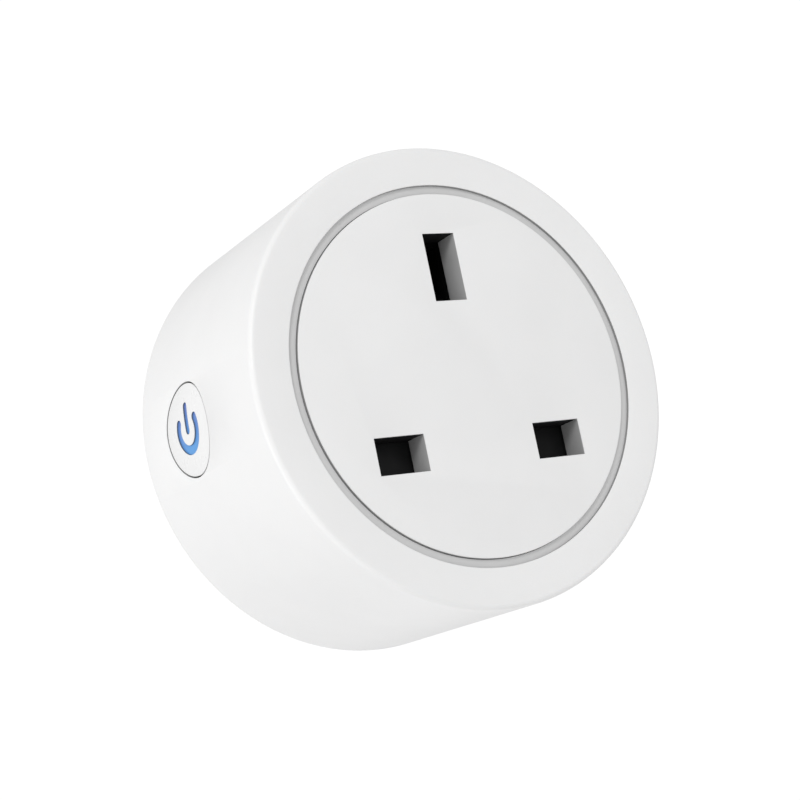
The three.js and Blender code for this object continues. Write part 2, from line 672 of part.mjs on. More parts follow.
function powerButton() {
  const skinBack = -BODY_RADIUS + BUTTON_SKIN;
  const plunger = sideRod(
    BUTTON_RADIUS - BUTTON_GAP, [-BODY_RADIUS - REACH, LIP_BACK_X], BUTTON_Y, 0, BODY_SIDES / 2,
  ).intersect(bodyCore(BODY_RADIUS));
  const lip = sideRod(LIP_RADIUS, [LIP_FRONT_X, LIP_BACK_X], BUTTON_Y);
  const hollow = sideRod(BUTTON_RADIUS - BUTTON_SIDE, [skinBack, LIP_BACK_X + REACH], BUTTON_Y);
  return cut(
    joined([plunger, lip]),
    [hollow, ...symbolSolids(SYMBOL_GAP, [-BODY_RADIUS - REACH, skinBack + REACH])],
  );
}

function buttonLightGuide() {
  const discFront = -BODY_RADIUS + BUTTON_SKIN + FIT / 2;
  const discBack = discFront + 1;
  const symbols = symbolSolids(0, [-BODY_RADIUS - REACH, discFront + SEAT]);
  return joined([
    ...symbols.map((symbol) => symbol.intersect(bodyCore(BODY_RADIUS - SEAT))),
    sideRod(BUTTON_RADIUS - BUTTON_SIDE - FIT, [discFront, discBack], BUTTON_Y),
    sideRod(TACT.plungerRadius, [discBack - SEAT, TACT_TIP_X - FIT / 3], BUTTON_Y, 0, SMALL_SIDES),
  ]);
}

function addTactSwitch() {
  const pocketDepth = TACT.plungerHidden + BUTTON_TRAVEL + FIT;
  const body = cut(
    block(
      [TACT_FACE_X, TACT_FACE_X + TACT.depth],
      around(BUTTON_Y, TACT.size),
      around(0, TACT.size),
    ),
    [sideRod(
      TACT.plungerRadius + PIN_FIT, [TACT_FACE_X - REACH, TACT_FACE_X + pocketDepth], BUTTON_Y,
      0, SMALL_SIDES,
    )],
  );
  addPiece(model, 'tact_switch_body', body, MATERIALS.blackBody);
  const plunger = sideRod(
    TACT.plungerRadius, [TACT_TIP_X, TACT_FACE_X + TACT.plungerHidden], BUTTON_Y, 0, SMALL_SIDES,
  );
  addPiece(model, 'tact_switch_plunger', plunger, MATERIALS.whiteButton);
}

function addButton() {
  addPiece(model, 'power_button', powerButton(), MATERIALS.whiteButton);
  addPiece(model, 'button_light_guide', buttonLightGuide(), MATERIALS.blueGuide);
  addTactSwitch();
}

// Boards

function mainBoard() {
  const boardRange = [BOARD_FRONT, BOARD_BACK];
  const through = [BOARD_FRONT - REACH, BOARD_BACK + REACH];
  const disc = rod(BOARD_RADIUS, boardRange, { sides: BODY_SIDES / 2 });
  const bossGaps = BOSS_ANGLES.map((angle) => (
    rod(BOSS_RADIUS + FIT, through, onCircle(BOSS_AXIS_RADIUS, angle))
  ));
  const tailSlots = POLES.map((pole) => poleBlock(pole, PIN_TAIL, through, PIN_FIT));
  const buttonRoom = sideRod(
    LIP_RADIUS + FIT, [-BODY_RADIUS, LIP_BACK_X + BUTTON_TRAVEL + FIT], BUTTON_Y,
  );
  return cut(disc, [...bossGaps, ...tailSlots, buttonRoom]);
}

function addControlBoard() {
  const { thickness, low, high, above } = CONTROL_BOARD;
  const foot = BOARD_FRONT - SEAT;
  const innerX = CONTROL_X + thickness;
  const board = block([CONTROL_X, innerX], [BUTTON_Y - above, foot], [low, high]);
  addPiece(model, 'control_board', board, MATERIALS.boardBlue);

  const middleZ = high - WIFI_MODULE.width / 2 - REACH / 2;
  const moduleX = [innerX + SEAT, innerX + SEAT + WIFI_MODULE.thickness];
  const moduleBack = foot - WIFI_MODULE.lift;
  const moduleFront = moduleBack - WIFI_MODULE.length;
  const module = block(moduleX, [moduleFront, moduleBack], around(middleZ, WIFI_MODULE.width));
  addPiece(model, 'wifi_module', module, MATERIALS.blackBody);

  const { wall, inset, antenna } = WIFI_SHIELD;
  const canX = [moduleX[1] + SEAT, moduleX[1] + SEAT + WIFI_SHIELD.thickness];
  const canY = [moduleFront + antenna, moduleBack - inset];
  const canWidth = WIFI_MODULE.width - 2 * inset;
  const shield = cut(block(canX, canY, around(middleZ, canWidth)), [block(
    [canX[0] - REACH, canX[1] - wall],
    [canY[0] + wall, canY[1] - wall],
    around(middleZ, canWidth - 2 * wall),
  )]);
  addPiece(model, 'wifi_shield', shield, MATERIALS.steel);

  const header = block(
    [innerX + SEAT, innerX + SEAT + HEADER.size],
    [foot - HEADER.size, foot],
    around(middleZ, HEADER.length),
  );
  const notches = Array.from({ length: HEADER.pins - 1 }, (_, i) => block(
    [innerX + SEAT + HEADER.size - FIT, innerX + HEADER.size + REACH],
    [foot - HEADER.size - REACH, foot + REACH],
    around(middleZ + (i + 1 - HEADER.pins / 2) * (HEADER.length / HEADER.pins), FIT),
  ));
  addPiece(model, 'board_header', cut(header, notches), MATERIALS.blackBody);

  const ledZ = TACT.size / 2 + LED.height;
  const led = block(
    [CONTROL_X - SEAT - LED.depth, CONTROL_X - SEAT],
    around(BUTTON_Y, LED.width),
    around(ledZ, LED.height),
  );
  addPiece(model, 'status_led', led, MATERIALS.ledClear);
}

// Parts that stand on the main board. Each is drawn in its own group, where
// y = 0 is the board's face and -y stands up from it.

function standOnBoard(x, z) {
  const place = new THREE.Group();
  place.position.set(x, BOARD_FRONT - SEAT, z);
  model.add(place);
  return place;
}

function addCanCapacitor(name, radius, height, x, z) {
  const crimp = radius * 0.08;
  const can = turned([
    [0, 0],
    [radius - crimp, 0],
    [radius, -crimp],
    [radius, -height * 0.1],
    [radius - crimp, -height * 0.15],
    [radius, -height * 0.2],
    [radius, -height + crimp],
    [radius - crimp, -height],
    [0, -height],
  ], SMALL_SIDES);
  addPiece(standOnBoard(x, z), name, can, MATERIALS.canSleeve);
}

function addInductor(radius, height, x, z) {
  const place = standOnBoard(x, z);
  const lip = height * 0.14;
  const coreRadius = radius * 0.5;
  const drum = turned([
    [0, 0], [radius, 0], [radius, -lip], [coreRadius, -lip],
    [coreRadius, -height + lip], [radius, -height + lip], [radius, -height], [0, -height],
  ], SMALL_SIDES);
  addPiece(place, 'inductor_core', drum, MATERIALS.ferrite);
  const winding = turned([
    [coreRadius + PIN_FIT, -lip - PIN_FIT], [radius - FIT, -lip - PIN_FIT],
    [radius - FIT, -height + lip + PIN_FIT], [coreRadius + PIN_FIT, -height + lip + PIN_FIT],
  ], SMALL_SIDES);
  addPiece(place, 'inductor_winding', winding, MATERIALS.copper);
}

function addVaristor(radius, thickness, x, z) {
  const lift = 1;
  const disc = toSolid(new THREE.CylinderGeometry(radius, radius, thickness, ROD_SIDES)
    .rotateX(Math.PI / 2).translate(0, -radius - lift, 0));
  const legs = [-1, 1].map((side) => block(
    around(side * radius * 0.5, 0.8), [-2 * lift, 0], around(0, 0.8),
  ));
  addPiece(standOnBoard(x, z), 'varistor', joined([disc, ...legs]), MATERIALS.discBlue);
}

function addFuseResistor(radius, length, x, z) {
  const body = sideRod(radius, around(0, length), -radius, 0, SMALL_SIDES);
  const collarRadius = radius + PIN_FIT;
  const collars = [-1, 1].map((side) => {
    const xRange = around((side * (length - radius)) / 2, radius);
    return sideRod(collarRadius, xRange, -collarRadius, 0, SMALL_SIDES);
  });
  addPiece(standOnBoard(x, z), 'fuse_resistor', joined([body, ...collars]), MATERIALS.resistorGrey);
}

// A moulded chip with a row of legs on both long sides.
function addChip(name, size, legs, x, z) {
  const body = block(around(0, size.x), [-size.y, -0.1], around(0, size.z));
  const pitch = size.x / legs;
  const rows = [-1, 1].flatMap((side) => Array.from({ length: legs }, (_, i) => block(
    around((i + 0.5) * pitch - size.x / 2, pitch * 0.4),
    [-size.y / 2, 0],
    around(side * (size.z / 2 + 0.3), 1.0),
  )));
  addPiece(standOnBoard(x, z), name, joined([body, ...rows]), MATERIALS.blackBody);
}

function addBoardParts() {
  addPiece(model, 'main_board', mainBoard(), MATERIALS.boardGreen);
  addCanCapacitor('filter_capacitor', 4.0, 12.0, 10.5, 16.0);
  addCanCapacitor('output_capacitor', 3.15, 9.0, 19.0, 9.0);
  addInductor(3.5, 8.0, 10.5, 6.6);
  addVaristor(4.0, 3.6, -10.0, 16.6);
  addFuseResistor(1.5, 8.0, -10.0, 11.6);
  addChip('bridge_rectifier', { x: 6.2, y: 2.6, z: 4.2 }, 2, -10.0, 6.6);
  addChip('regulator_chip', { x: 4.9, y: 1.5, z: 3.9 }, 4, -9.5, 0.2);
  const box = block(around(0, 13.0), [-10.0, 0], around(0, 5.0));
  addPiece(standOnBoard(17.0, -0.8), 'x_capacitor', box, MATERIALS.boxYellow);
}

// Relay: an open-bottomed case over a base, a coil on an iron core, a yoke, an
// armature that tips towards the core, and the contact it closes. Its heights
// run from the case's top down to the base, as -y stands up from the board.

const RELAY_TOP = -RELAY.height - FIT;
const RELAY_BASE_TOP = -RELAY.base - FIT;
const HINGE_X = RELAY.hingeInset - RELAY.length / 2;
const ARMATURE_Y = RELAY_TOP + RELAY.wall + RELAY.headroom;
const ARMATURE_UNDER = ARMATURE_Y + RELAY.sheet / 2;
const CORE_TOP = ARMATURE_UNDER + RELAY.coreGap;
const YOKE_FOOT = RELAY_BASE_TOP - FIT - RELAY.sheet / 2;
const BOBBIN_LOW = YOKE_FOOT - RELAY.sheet / 2 - FIT;
const BOBBIN_HIGH = CORE_TOP + RELAY.lip + FIT;
const CONTACT_X = RELAY.length / 2 - RELAY.wall - RELAY.contactInset;

function addRelayCase(place) {
  const { length, width, wall } = RELAY;
  const box = block(around(0, length), [RELAY_TOP, -FIT], around(0, width));
  const room = block(
    around(0, length - 2 * wall),
    [RELAY_TOP + wall, REACH],
    around(0, width - 2 * wall),
  );
  addPiece(place, 'relay_case', cut(box, [room]), MATERIALS.relayBlue);
  const base = block(
    around(0, length - 2 * wall - 2 * FIT),
    [RELAY_BASE_TOP, -FIT],
    around(0, width - 2 * wall - 2 * FIT),
  );
  addPiece(place, 'relay_base', base, MATERIALS.blackBody);
}

function addRelayCoil(place) {
  const { coreX, coreRadius, coreLip, lip, lipRadius, tube, sheet, sheetWidth } = RELAY;
  const bore = coreRadius + PIN_FIT;
  const tubeRadius = bore + tube;
  const yoke = cut(
    acrossZ(sheetOutline([
      [coreX + bore + sheet, YOKE_FOOT], [HINGE_X, YOKE_FOOT], [HINGE_X, ARMATURE_UNDER + 2 * PIN_FIT],
    ], sheet), sheetWidth),
    [rod(bore, [YOKE_FOOT - REACH, YOKE_FOOT + REACH], { x: coreX, sides: SMALL_SIDES })],
  );
  addPiece(place, 'relay_yoke', yoke, MATERIALS.ironCore);

  const low = BOBBIN_LOW - lip;
  const high = BOBBIN_HIGH + lip;
  const bobbin = turned([
    [bore, BOBBIN_LOW], [lipRadius, BOBBIN_LOW], [lipRadius, low], [tubeRadius, low],
    [tubeRadius, high], [lipRadius, high], [lipRadius, BOBBIN_HIGH], [bore, BOBBIN_HIGH],
  ], SMALL_SIDES);
  addPiece(place, 'relay_bobbin', bobbin, MATERIALS.creamBobbin).position.x = coreX;
  const winding = turned([
    [tubeRadius + PIN_FIT, low - PIN_FIT], [lipRadius - PIN_FIT, low - PIN_FIT],
    [lipRadius - PIN_FIT, high + PIN_FIT], [tubeRadius + PIN_FIT, high + PIN_FIT],
  ], SMALL_SIDES);
  addPiece(place, 'relay_winding', winding, MATERIALS.copper).position.x = coreX;
  const head = BOBBIN_HIGH - PIN_FIT;
  const core = turned([
    [0, YOKE_FOOT + sheet / 2], [coreRadius, YOKE_FOOT + sheet / 2], [coreRadius, head],
    [coreRadius + coreLip, head], [coreRadius + coreLip, CORE_TOP], [0, CORE_TOP],
  ], SMALL_SIDES);
  addPiece(place, 'relay_core', core, MATERIALS.ironCore).position.x = coreX;
}

function addRelayContacts(place) {
  const { sheet, sheetWidth, contactRadius, contactWidth, rivet, contactGap } = RELAY;
  const rivetEnd = ARMATURE_UNDER + rivet;
  const small = { x: CONTACT_X, sides: SMALL_SIDES };
  const armature = joined([
    block([HINGE_X - sheet, CONTACT_X + contactRadius], around(ARMATURE_Y, sheet), around(0, sheetWidth)),
    rod(contactRadius, [ARMATURE_Y, rivetEnd], small),
  ]);
  addPiece(place, 'relay_armature', armature, MATERIALS.ironCore);
  const tab = rivetEnd + contactGap + rivet + sheet / 2;
  const fixed = joined([
    acrossZ(sheetOutline([
      [CONTACT_X - contactRadius, tab], [CONTACT_X + contactRadius, tab],
      [CONTACT_X + contactRadius, RELAY_BASE_TOP - SEAT],
    ], sheet), contactWidth),
    rod(contactRadius, [rivetEnd + contactGap, tab], small),
  ]);
  addPiece(place, 'relay_fixed_contact', fixed, MATERIALS.brass);
}

function addRelay() {
  const place = standOnBoard(0, RELAY_Z);
  addRelayCase(place);
  addRelayCoil(place);
  addRelayContacts(place);
}

addPiece(model, 'front_housing', frontHousing(), MATERIALS.whiteShell);
addPiece(model, 'face_plate', facePlate(), MATERIALS.whiteFace);
addPiece(model, 'rear_cover', rearCover(), MATERIALS.whiteShell);
addPiece(model, 'contact_carrier', contactCarrier(), MATERIALS.blackCarrier);
addScrews();
addPins();
addContacts();
addShutter();
addContactBars();
addButton();
addBoardParts();
addControlBoard();
addRelay();

export default model;
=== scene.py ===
"""Looks of a round plug-through smart plug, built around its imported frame.

Lengths are metres in the frame's axes: +Y runs into the wall along the pins, +Z is up with
the earth pin at the top, and the origin is the centre of the rear face. Sizes that only the
looks need are dataclass fields in millimetres.
"""

import json
import logging
import math
from collections.abc import Callable, Iterable, Sequence
from contextlib import contextmanager
from dataclasses import dataclass, field
from enum import Enum
from typing import Iterator

import bmesh
import bpy
from mathutils import Matrix, Vector


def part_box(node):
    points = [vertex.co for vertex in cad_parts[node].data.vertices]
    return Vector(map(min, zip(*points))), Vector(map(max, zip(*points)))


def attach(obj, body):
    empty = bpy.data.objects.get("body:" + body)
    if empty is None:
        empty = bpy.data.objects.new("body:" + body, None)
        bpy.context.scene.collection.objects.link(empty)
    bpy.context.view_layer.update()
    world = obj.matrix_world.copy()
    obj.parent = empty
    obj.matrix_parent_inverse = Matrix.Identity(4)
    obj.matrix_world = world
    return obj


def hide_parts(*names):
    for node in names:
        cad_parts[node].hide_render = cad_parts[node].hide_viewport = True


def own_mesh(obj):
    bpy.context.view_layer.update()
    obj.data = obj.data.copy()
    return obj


log = logging.getLogger("smart_plug")
MM = 0.001

# How close points are merged, after a move and when a piece is finished.
JOIN_MM = 0.001
CLEAN_MM = 0.0005
# How close a point, or the middle of a facet, lies to the plane or wall that it is on.
NEAR_MM = 0.01
ON_WALL_MM = 0.05
# The least angle in radians of an edge that is rounded.
SHARP_ANGLE = 0.3
# The most that the normal of a wall along an axis leans towards it.
SIDEWAYS = 0.3

Piece = bpy.types.Object
Mesh = bmesh.types.BMesh
Material = bpy.types.Material
Tree = bpy.types.NodeTree
Node = bpy.types.Node
Socket = bpy.types.NodeSocket
Point = Sequence[float]
Box = tuple[Vector, Vector]
Step = tuple[float, float, float]
Test = Callable[[Vector, Vector], bool]

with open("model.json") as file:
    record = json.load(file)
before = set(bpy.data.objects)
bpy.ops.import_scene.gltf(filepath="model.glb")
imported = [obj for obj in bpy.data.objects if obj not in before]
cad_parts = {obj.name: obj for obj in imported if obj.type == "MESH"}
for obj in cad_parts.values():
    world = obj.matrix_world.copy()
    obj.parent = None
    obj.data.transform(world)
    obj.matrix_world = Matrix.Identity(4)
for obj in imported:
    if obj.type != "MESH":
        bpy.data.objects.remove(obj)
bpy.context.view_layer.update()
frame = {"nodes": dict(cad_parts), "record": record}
BODY_OF = {
    node: body for body, nodes in frame["record"]["behaviour"]["bodies"].items() for node in nodes
}


def mm(value: float) -> float:
    """Returns millimetres as metres."""
    return value * MM


class Side(Enum):
    """Which way along X a repeated piece lies."""

    LEFT = -1
    RIGHT = 1


class Combine(Enum):
    """How a tool solid acts on the piece that it meets."""

    CUT = "DIFFERENCE"
    JOIN = "UNION"
    KEEP = "INTERSECT"


# ---------------------------------------------------------------- modelling moves


def only(piece: Piece) -> None:
    """Selects one object and makes it the active one."""
    bpy.ops.object.select_all(action="DESELECT")
    piece.select_set(True)
    bpy.context.view_layer.objects.active = piece


def freeze(piece: Piece) -> None:
    """Puts the object's place, turn and size into its mesh."""
    only(piece)
    bpy.ops.object.transform_apply(location=True, rotation=True, scale=True)


@contextmanager
def editing(piece: Piece, everything: bool = True) -> Iterator[Mesh]:
    """Opens the piece in edit mode.

    Args:
        piece: The mesh object to edit.
        everything: Whether all of it starts selected.

    Returns:
        A context manager that gives the piece's edit mesh.
    """
    only(piece)
    bpy.ops.object.mode_set(mode="EDIT")
    bpy.ops.mesh.select_all(action="SELECT" if everything else "DESELECT")
    yield bmesh.from_edit_mesh(piece.data)
    bpy.ops.object.mode_set(mode="OBJECT")


def merge(reach_mm: float) -> None:
    """In edit mode, merges points closer than reach_mm and turns all faces outward."""
    bpy.ops.mesh.select_all(action="SELECT")
    bpy.ops.mesh.remove_doubles(threshold=mm(reach_mm))
    bpy.ops.mesh.normals_make_consistent(inside=False)


def added(name: str, scale: Point = (1, 1, 1)) -> Piece:
    """Names the primitive just added, and puts its place and size into its mesh."""
    piece = bpy.context.object
    piece.name = name
    piece.scale = scale
    freeze(piece)
    return piece


def block(name: str, low: Point, high: Point) -> Piece:
    """Adds a box.

    Args:
        name: The new object's name.
        low: Its lowest corner in metres.
        high: Its highest corner in metres.

    Returns:
        The box, with its place in its mesh.
    """
    bpy.ops.object.select_all(action="DESELECT")
    middle = [(a + b) / 2 for a, b in zip(low, high)]
    bpy.ops.mesh.primitive_cube_add(size=1, location=middle)
    return added(name, [b - a for a, b in zip(low, high)])


def rod(
    name: str,
    radius: float,
    start: Point,
    end: Point,
    sides: int = 64,
    end_radius: float | None = None,
) -> Piece:
    """Adds a round bar, or a cone where its end has another radius.

    Args:
        name: The new object's name.
        radius: The radius at start, in metres.
        start: The centre of its first end.
        end: The centre of its last end.
        sides: How many facets go round it.
        end_radius: The radius at end, if it differs.

    Returns:
        The bar, with its place in its mesh.
    """
    bpy.ops.object.select_all(action="DESELECT")
    along = Vector(end) - Vector(start)
    bpy.ops.mesh.primitive_cone_add(
        vertices=sides,
        radius1=radius,
        radius2=radius if end_radius is None else end_radius,
        depth=along.length,
        location=(Vector(start) + Vector(end)) / 2,
        rotation=along.to_track_quat("Z", "Y").to_euler(),
    )
    return added(name)


def draw_out(piece: Piece, steps: Sequence[Step], closed: bool) -> None:
    """Draws a ring of edges along Y, step by step, and closes the piece.

    Args:
        piece: An object that is one ring of edges, of the first step's size.
        steps: The ring's width, height and Y at each step, in metres.
        closed: Whether the last step comes back to the first, or both ends are filled.
    """
    with editing(piece):
        if not closed:
            bpy.ops.mesh.edge_face_add()
            bpy.ops.mesh.select_all(action="SELECT")
        for (w0, h0, y0), (w1, h1, y1) in zip(steps, steps[1:]):
            bpy.ops.mesh.extrude_region_move(TRANSFORM_OT_translate={"value": (0, y1 - y0, 0)})
            if (w0, h0) != (w1, h1):
                bpy.ops.transform.resize(value=(w1 / w0, 1, h1 / h0))
        merge(JOIN_MM)


def turned(name: str, outline: Sequence[Point], sides: int, closed: bool = False) -> Piece:
    """Turns an outline about the Y axis.

    Args:
        name: The new object's name.
        outline: Points of radius and Y, in metres.
        sides: How many facets go round it.
        closed: Whether the outline comes back to its first point.

    Returns:
        The turned piece.
    """
    bpy.ops.object.select_all(action="DESELECT")
    radius, y = outline[0]
    bpy.ops.mesh.primitive_circle_add(
        vertices=sides, radius=radius, location=(0, y, 0), rotation=(math.pi / 2, 0, 0)
    )
    piece = added(name)
    rings = [(r, r, y) for r, y in outline]
    draw_out(piece, rings + rings[:1] if closed else rings, closed)
    return piece


def sheet(name: str, centre: Point, width: float, height: float) -> Piece:
    """Adds a flat rectangle that faces along Y.

    Args:
        name: The new object's name.
        centre: Its middle.
        width: Its size along X, in metres.
        height: Its size along Z, in metres.

    Returns:
        The rectangle.
    """
    bpy.ops.object.select_all(action="DESELECT")
    bpy.ops.mesh.primitive_plane_add(size=1, location=centre, rotation=(math.pi / 2, 0, 0))
    return added(name, (width, height, 1))


def stepped(name: str, centre: Point, steps: Sequence[Step]) -> Piece:
    """Draws a rectangle out along Y, with a new width and height at each step.

    Args:
        name: The new object's name.
        centre: The X and Z of its middle line.
        steps: Width, height and Y at each step, in metres.

    Returns:
        The stepped bar.
    """
    width, height, y = steps[0]
    piece = sheet(name, (0, y, 0), width, height)
    draw_out(piece, steps, closed=False)
    piece.location = (centre[0], 0, centre[1])
    freeze(piece)
    return piece


def combine(piece: Piece, tools: Iterable[Piece], how: Combine) -> Piece:
    """Joins tools to a piece or cuts it with them, and removes the tools.

    Args:
        piece: The piece that is kept.
        tools: The solids that act on it, one after another.
        how: What each tool does.

    Returns:
        The piece.
    """
    for tool in tools:
        only(piece)
        modifier = piece.modifiers.new("meet", "BOOLEAN")
        modifier.operation = how.value
        modifier.solver = "MANIFOLD"
        modifier.object = tool
        bpy.ops.object.modifier_apply(modifier=modifier.name)
        bpy.data.objects.remove(tool, do_unlink=True)
    return piece


def round_edges(piece: Piece, width: float, steps: int, test: Test) -> None:
    """Rounds chosen edges.

    Args:
        piece: The piece to work on.
        width: The rounding's width in metres.
        steps: How many facets it has.
        test: Takes an edge's two ends and says whether it is rounded.
    """
    with editing(piece, everything=False) as edit:
        for edge in edit.edges:
            ends = [vert.co for vert in edge.verts]
            sharp = edge.is_manifold and edge.calc_face_angle(0) > SHARP_ANGLE
            edge.select_set(sharp and test(*ends))
        bmesh.update_edit_mesh(piece.data)
        bpy.ops.mesh.bevel(offset=width, segments=steps, profile=0.5, clamp_overlap=True)


def finish(piece: Piece, material: Material, angle: float = 35) -> None:
    """Cleans the mesh, shades it smooth up to an angle in degrees and gives it its material."""
    with editing(piece):
        merge(CLEAN_MM)
    only(piece)
    bpy.ops.object.shade_smooth_by_angle(angle=math.radians(angle))
    piece.data.materials.clear()
    piece.data.materials.append(material)


def second_finish(piece: Piece, material: Material, test: Test) -> None:
    """Gives some of a finished piece's faces another material.

    Args:
        piece: The piece, which already has its main material.
        material: The material that the chosen faces get.
        test: Takes a face's middle and normal and says whether it is chosen.
    """
    piece.data.materials.append(material)
    number = len(piece.data.materials) - 1
    with editing(piece, everything=False) as edit:
        for face in edit.faces:
            face.select_set(test(face.calc_center_median(), face.normal))
        bmesh.update_edit_mesh(piece.data)
        piece.active_material_index = number
        bpy.ops.object.material_slot_assign()


def arc(centre: tuple[float, float], radius: float, start: float, end: float, steps: int) -> list:
    """Gives points on an arc.

    Args:
        centre: The arc's centre, as radius from the axis and Y.
        radius: The arc's own radius.
        start: Its first angle in degrees.
        end: Its last angle in degrees.
        steps: How many stretches it has.

    Returns:
        The points, both ends included.
    """
    turns = [math.radians(start + (end - start) * i / steps) for i in range(steps + 1)]
    return [(centre[0] + radius * math.cos(t), centre[1] + radius * math.sin(t)) for t in turns]


# ---------------------------------------------------------------- finishes


def linear(hex_colour: str) -> tuple[float, float, float, float]:
    """Turns an sRGB hex colour such as "f2f2f2" into linear RGBA."""
    parts = [int(hex_colour[i : i + 2], 16) / 255 for i in (0, 2, 4)]
    lin = [p / 12.92 if p <= 0.04045 else ((p + 0.055) / 1.055) ** 2.4 for p in parts]
    return (*lin, 1.0)


def add_node(
    tree: Tree,
    kind: str,
    inputs: dict[str | int, object] | None = None,
    **settings: object,
) -> Node:
    """Adds a shader node with its settings and links.

    Args:
        tree: The material's node tree.
        kind: The node's type name, without "ShaderNode".
        inputs: Socket names or numbers, each with a constant or a socket to link from.
        **settings: The node's own properties.

    Returns:
        The new node.
    """
    made = tree.nodes.new("ShaderNode" + kind)
    for key, value in settings.items():
        setattr(made, key, value)
    for key, value in (inputs or {}).items():
        if isinstance(value, Socket):
            tree.links.new(value, made.inputs[key])
        else:
            made.inputs[key].default_value = value
    return made


def spread(tree: Tree, value: Socket, low: float, high: float) -> Socket:
    """Maps a pattern's middle range, 0.3 to 0.7, to low and high."""
    inputs = {"Value": value, "From Min": 0.3, "From Max": 0.7, "To Min": low, "To Max": high}
    return add_node(tree, "MapRange", inputs).outputs[0]


def mix(tree: Tree, share: Socket, first: str | Socket, second: str | Socket) -> Socket:
    """Blends two colours, each a hex colour or a socket, by a share from 0 to 1."""
    ends = [linear(tone) if isinstance(tone, str) else tone for tone in (first, second)]
    tones = {"Factor": share, 6: ends[0], 7: ends[1]}
    return add_node(tree, "Mix", tones, data_type="RGBA").outputs[2]


@dataclass(frozen=True)
class Finish:
    """A surface finish, with the base of its shader."""

    name: str
    colour: str

    def build(self) -> Material:
        """Makes the material, or gives the one already made under this name."""
        made = bpy.data.materials.get(self.name)
        if made:
            return made
        made = bpy.data.materials.new(self.name)
        made.use_nodes = True
        made.diffuse_color = linear(self.colour)
        tree = made.node_tree
        tree.nodes.clear()
        place = add_node(tree, "TexCoord").outputs["Object"]
        shader = add_node(tree, "BsdfPrincipled", {"Base Color": linear(self.colour)})
        add_node(tree, "OutputMaterial", {"Surface": shader.outputs[0]})
        self.shade(tree, shader, place)
        return made

    def shade(self, tree: Tree, shader: Node, place: Socket) -> None:
        """Adds this finish's own nodes.

        Args:
            tree: The material's node tree.
            shader: Its principled shader.
            place: Object coordinates in metres.
        """
        raise NotImplementedError

    @staticmethod
    def noise(tree: Tree, place: Socket, size_mm: float, detail: float = 2) -> Socket:
        """Gives noise whose patches are about size_mm across."""
        inputs = {"Vector": place, "Scale": 1 / mm(size_mm), "Detail": detail}
        return add_node(tree, "TexNoise", inputs).outputs[0]

    @staticmethod
    def stretched(tree: Tree, place: Socket, stretch: Point) -> Socket:
        """Gives coordinates scaled by a factor along each axis."""
        return add_node(tree, "Mapping", {"Vector": place, "Scale": tuple(stretch)}).outputs[0]

    @staticmethod
    def relief(tree: Tree, shader: Node, height: Socket, depth_mm: float) -> None:
        """Links a height pattern to the shader's normal, depth_mm from its lowest to highest."""
        inputs = {"Height": height, "Distance": mm(depth_mm), "Strength": 1.0}
        bump = add_node(tree, "Bump", inputs)
        tree.links.new(bump.outputs[0], shader.inputs["Normal"])


@dataclass(frozen=True)
class MouldedPlastic(Finish):
    """Injection-moulded ABS, polycarbonate or nylon.

    The eye gets a soft even sheen from the spark-eroded mould, broken by a grain that is
    just too fine to count, and a faint flow mottle where the melt cooled unevenly.
    """

    roughness: float = 0.42
    vary: float = 0.05
    grain_mm: float = 0.16
    grain_depth_mm: float = 0.004
    mottle_mm: float = 9.0
    mottle: str = ""
    ior: float = 1.53
    gloss: float = 0.5
    bleed: float = 0.0

    def shade(self, tree: Tree, shader: Node, place: Socket) -> None:
        """Adds mottle, uneven sheen and mould grain."""
        shader.inputs["IOR"].default_value = self.ior
        shader.inputs["Specular IOR Level"].default_value = self.gloss
        if self.bleed:
            shader.inputs["Subsurface Weight"].default_value = self.bleed
            shader.inputs["Subsurface Radius"].default_value = (1.0, 0.9, 0.8)
            shader.inputs["Subsurface Scale"].default_value = mm(0.6)
        flow = spread(tree, self.noise(tree, place, self.mottle_mm), 0.0, 1.0)
        mixed = mix(tree, flow, self.colour, self.mottle or self.colour)
        tree.links.new(mixed, shader.inputs["Base Color"])
        sheen = self.noise(tree, place, self.mottle_mm / 5)
        uneven = spread(tree, sheen, self.roughness - self.vary, self.roughness + self.vary)
        tree.links.new(uneven, shader.inputs["Roughness"])
        self.relief(tree, shader, self.noise(tree, place, self.grain_mm), self.grain_depth_mm)


@dataclass(frozen=True)
class DullPlastic(MouldedPlastic):
    """The same plastics where the mould can't be polished: flat, without the soft sheen."""

    roughness: float = 0.6
    gloss: float = 0.3


@dataclass(frozen=True)
class PaintedGlowPolycarbonate(Finish):
    """Tinted polycarbonate light guide, with the light of the LED behind it painted in.

    The eye gets a painted emission and a clear blue that is brightest next to the LED's
    point and turns duller and more violet away from it, under a smooth moulded face.
    """

    far_colour: str = "6179bd"
    # lamp is the LED's point that the painted light spreads from; glow is the strength of the
    # painted emission.
    lamp: tuple[float, float, float] = (0.0, 0.0, 0.0)
    reach_mm: float = 5.5
    glow: float = 0.04

    def shade(self, tree: Tree, shader: Node, place: Socket) -> None:
        """Adds painted light that fades with distance from the LED's point."""
        shader.inputs["IOR"].default_value = 1.585
        shader.inputs["Roughness"].default_value = 0.28
        shader.inputs["Emission Strength"].default_value = self.glow
        away = add_node(tree, "VectorMath", {0: place, 1: self.lamp}, operation="DISTANCE")
        reach = {"From Min": mm(1.0), "From Max": mm(self.reach_mm)}
        painted_falloff = add_node(tree, "MapRange", {"Value": away.outputs["Value"]} | reach)
        mixed = mix(tree, painted_falloff.outputs[0], self.colour, self.far_colour)
        tree.links.new(mixed, shader.inputs["Base Color"])
        tree.links.new(mixed, shader.inputs["Emission Color"])
        self.relief(tree, shader, self.noise(tree, place, 0.3), 0.003)


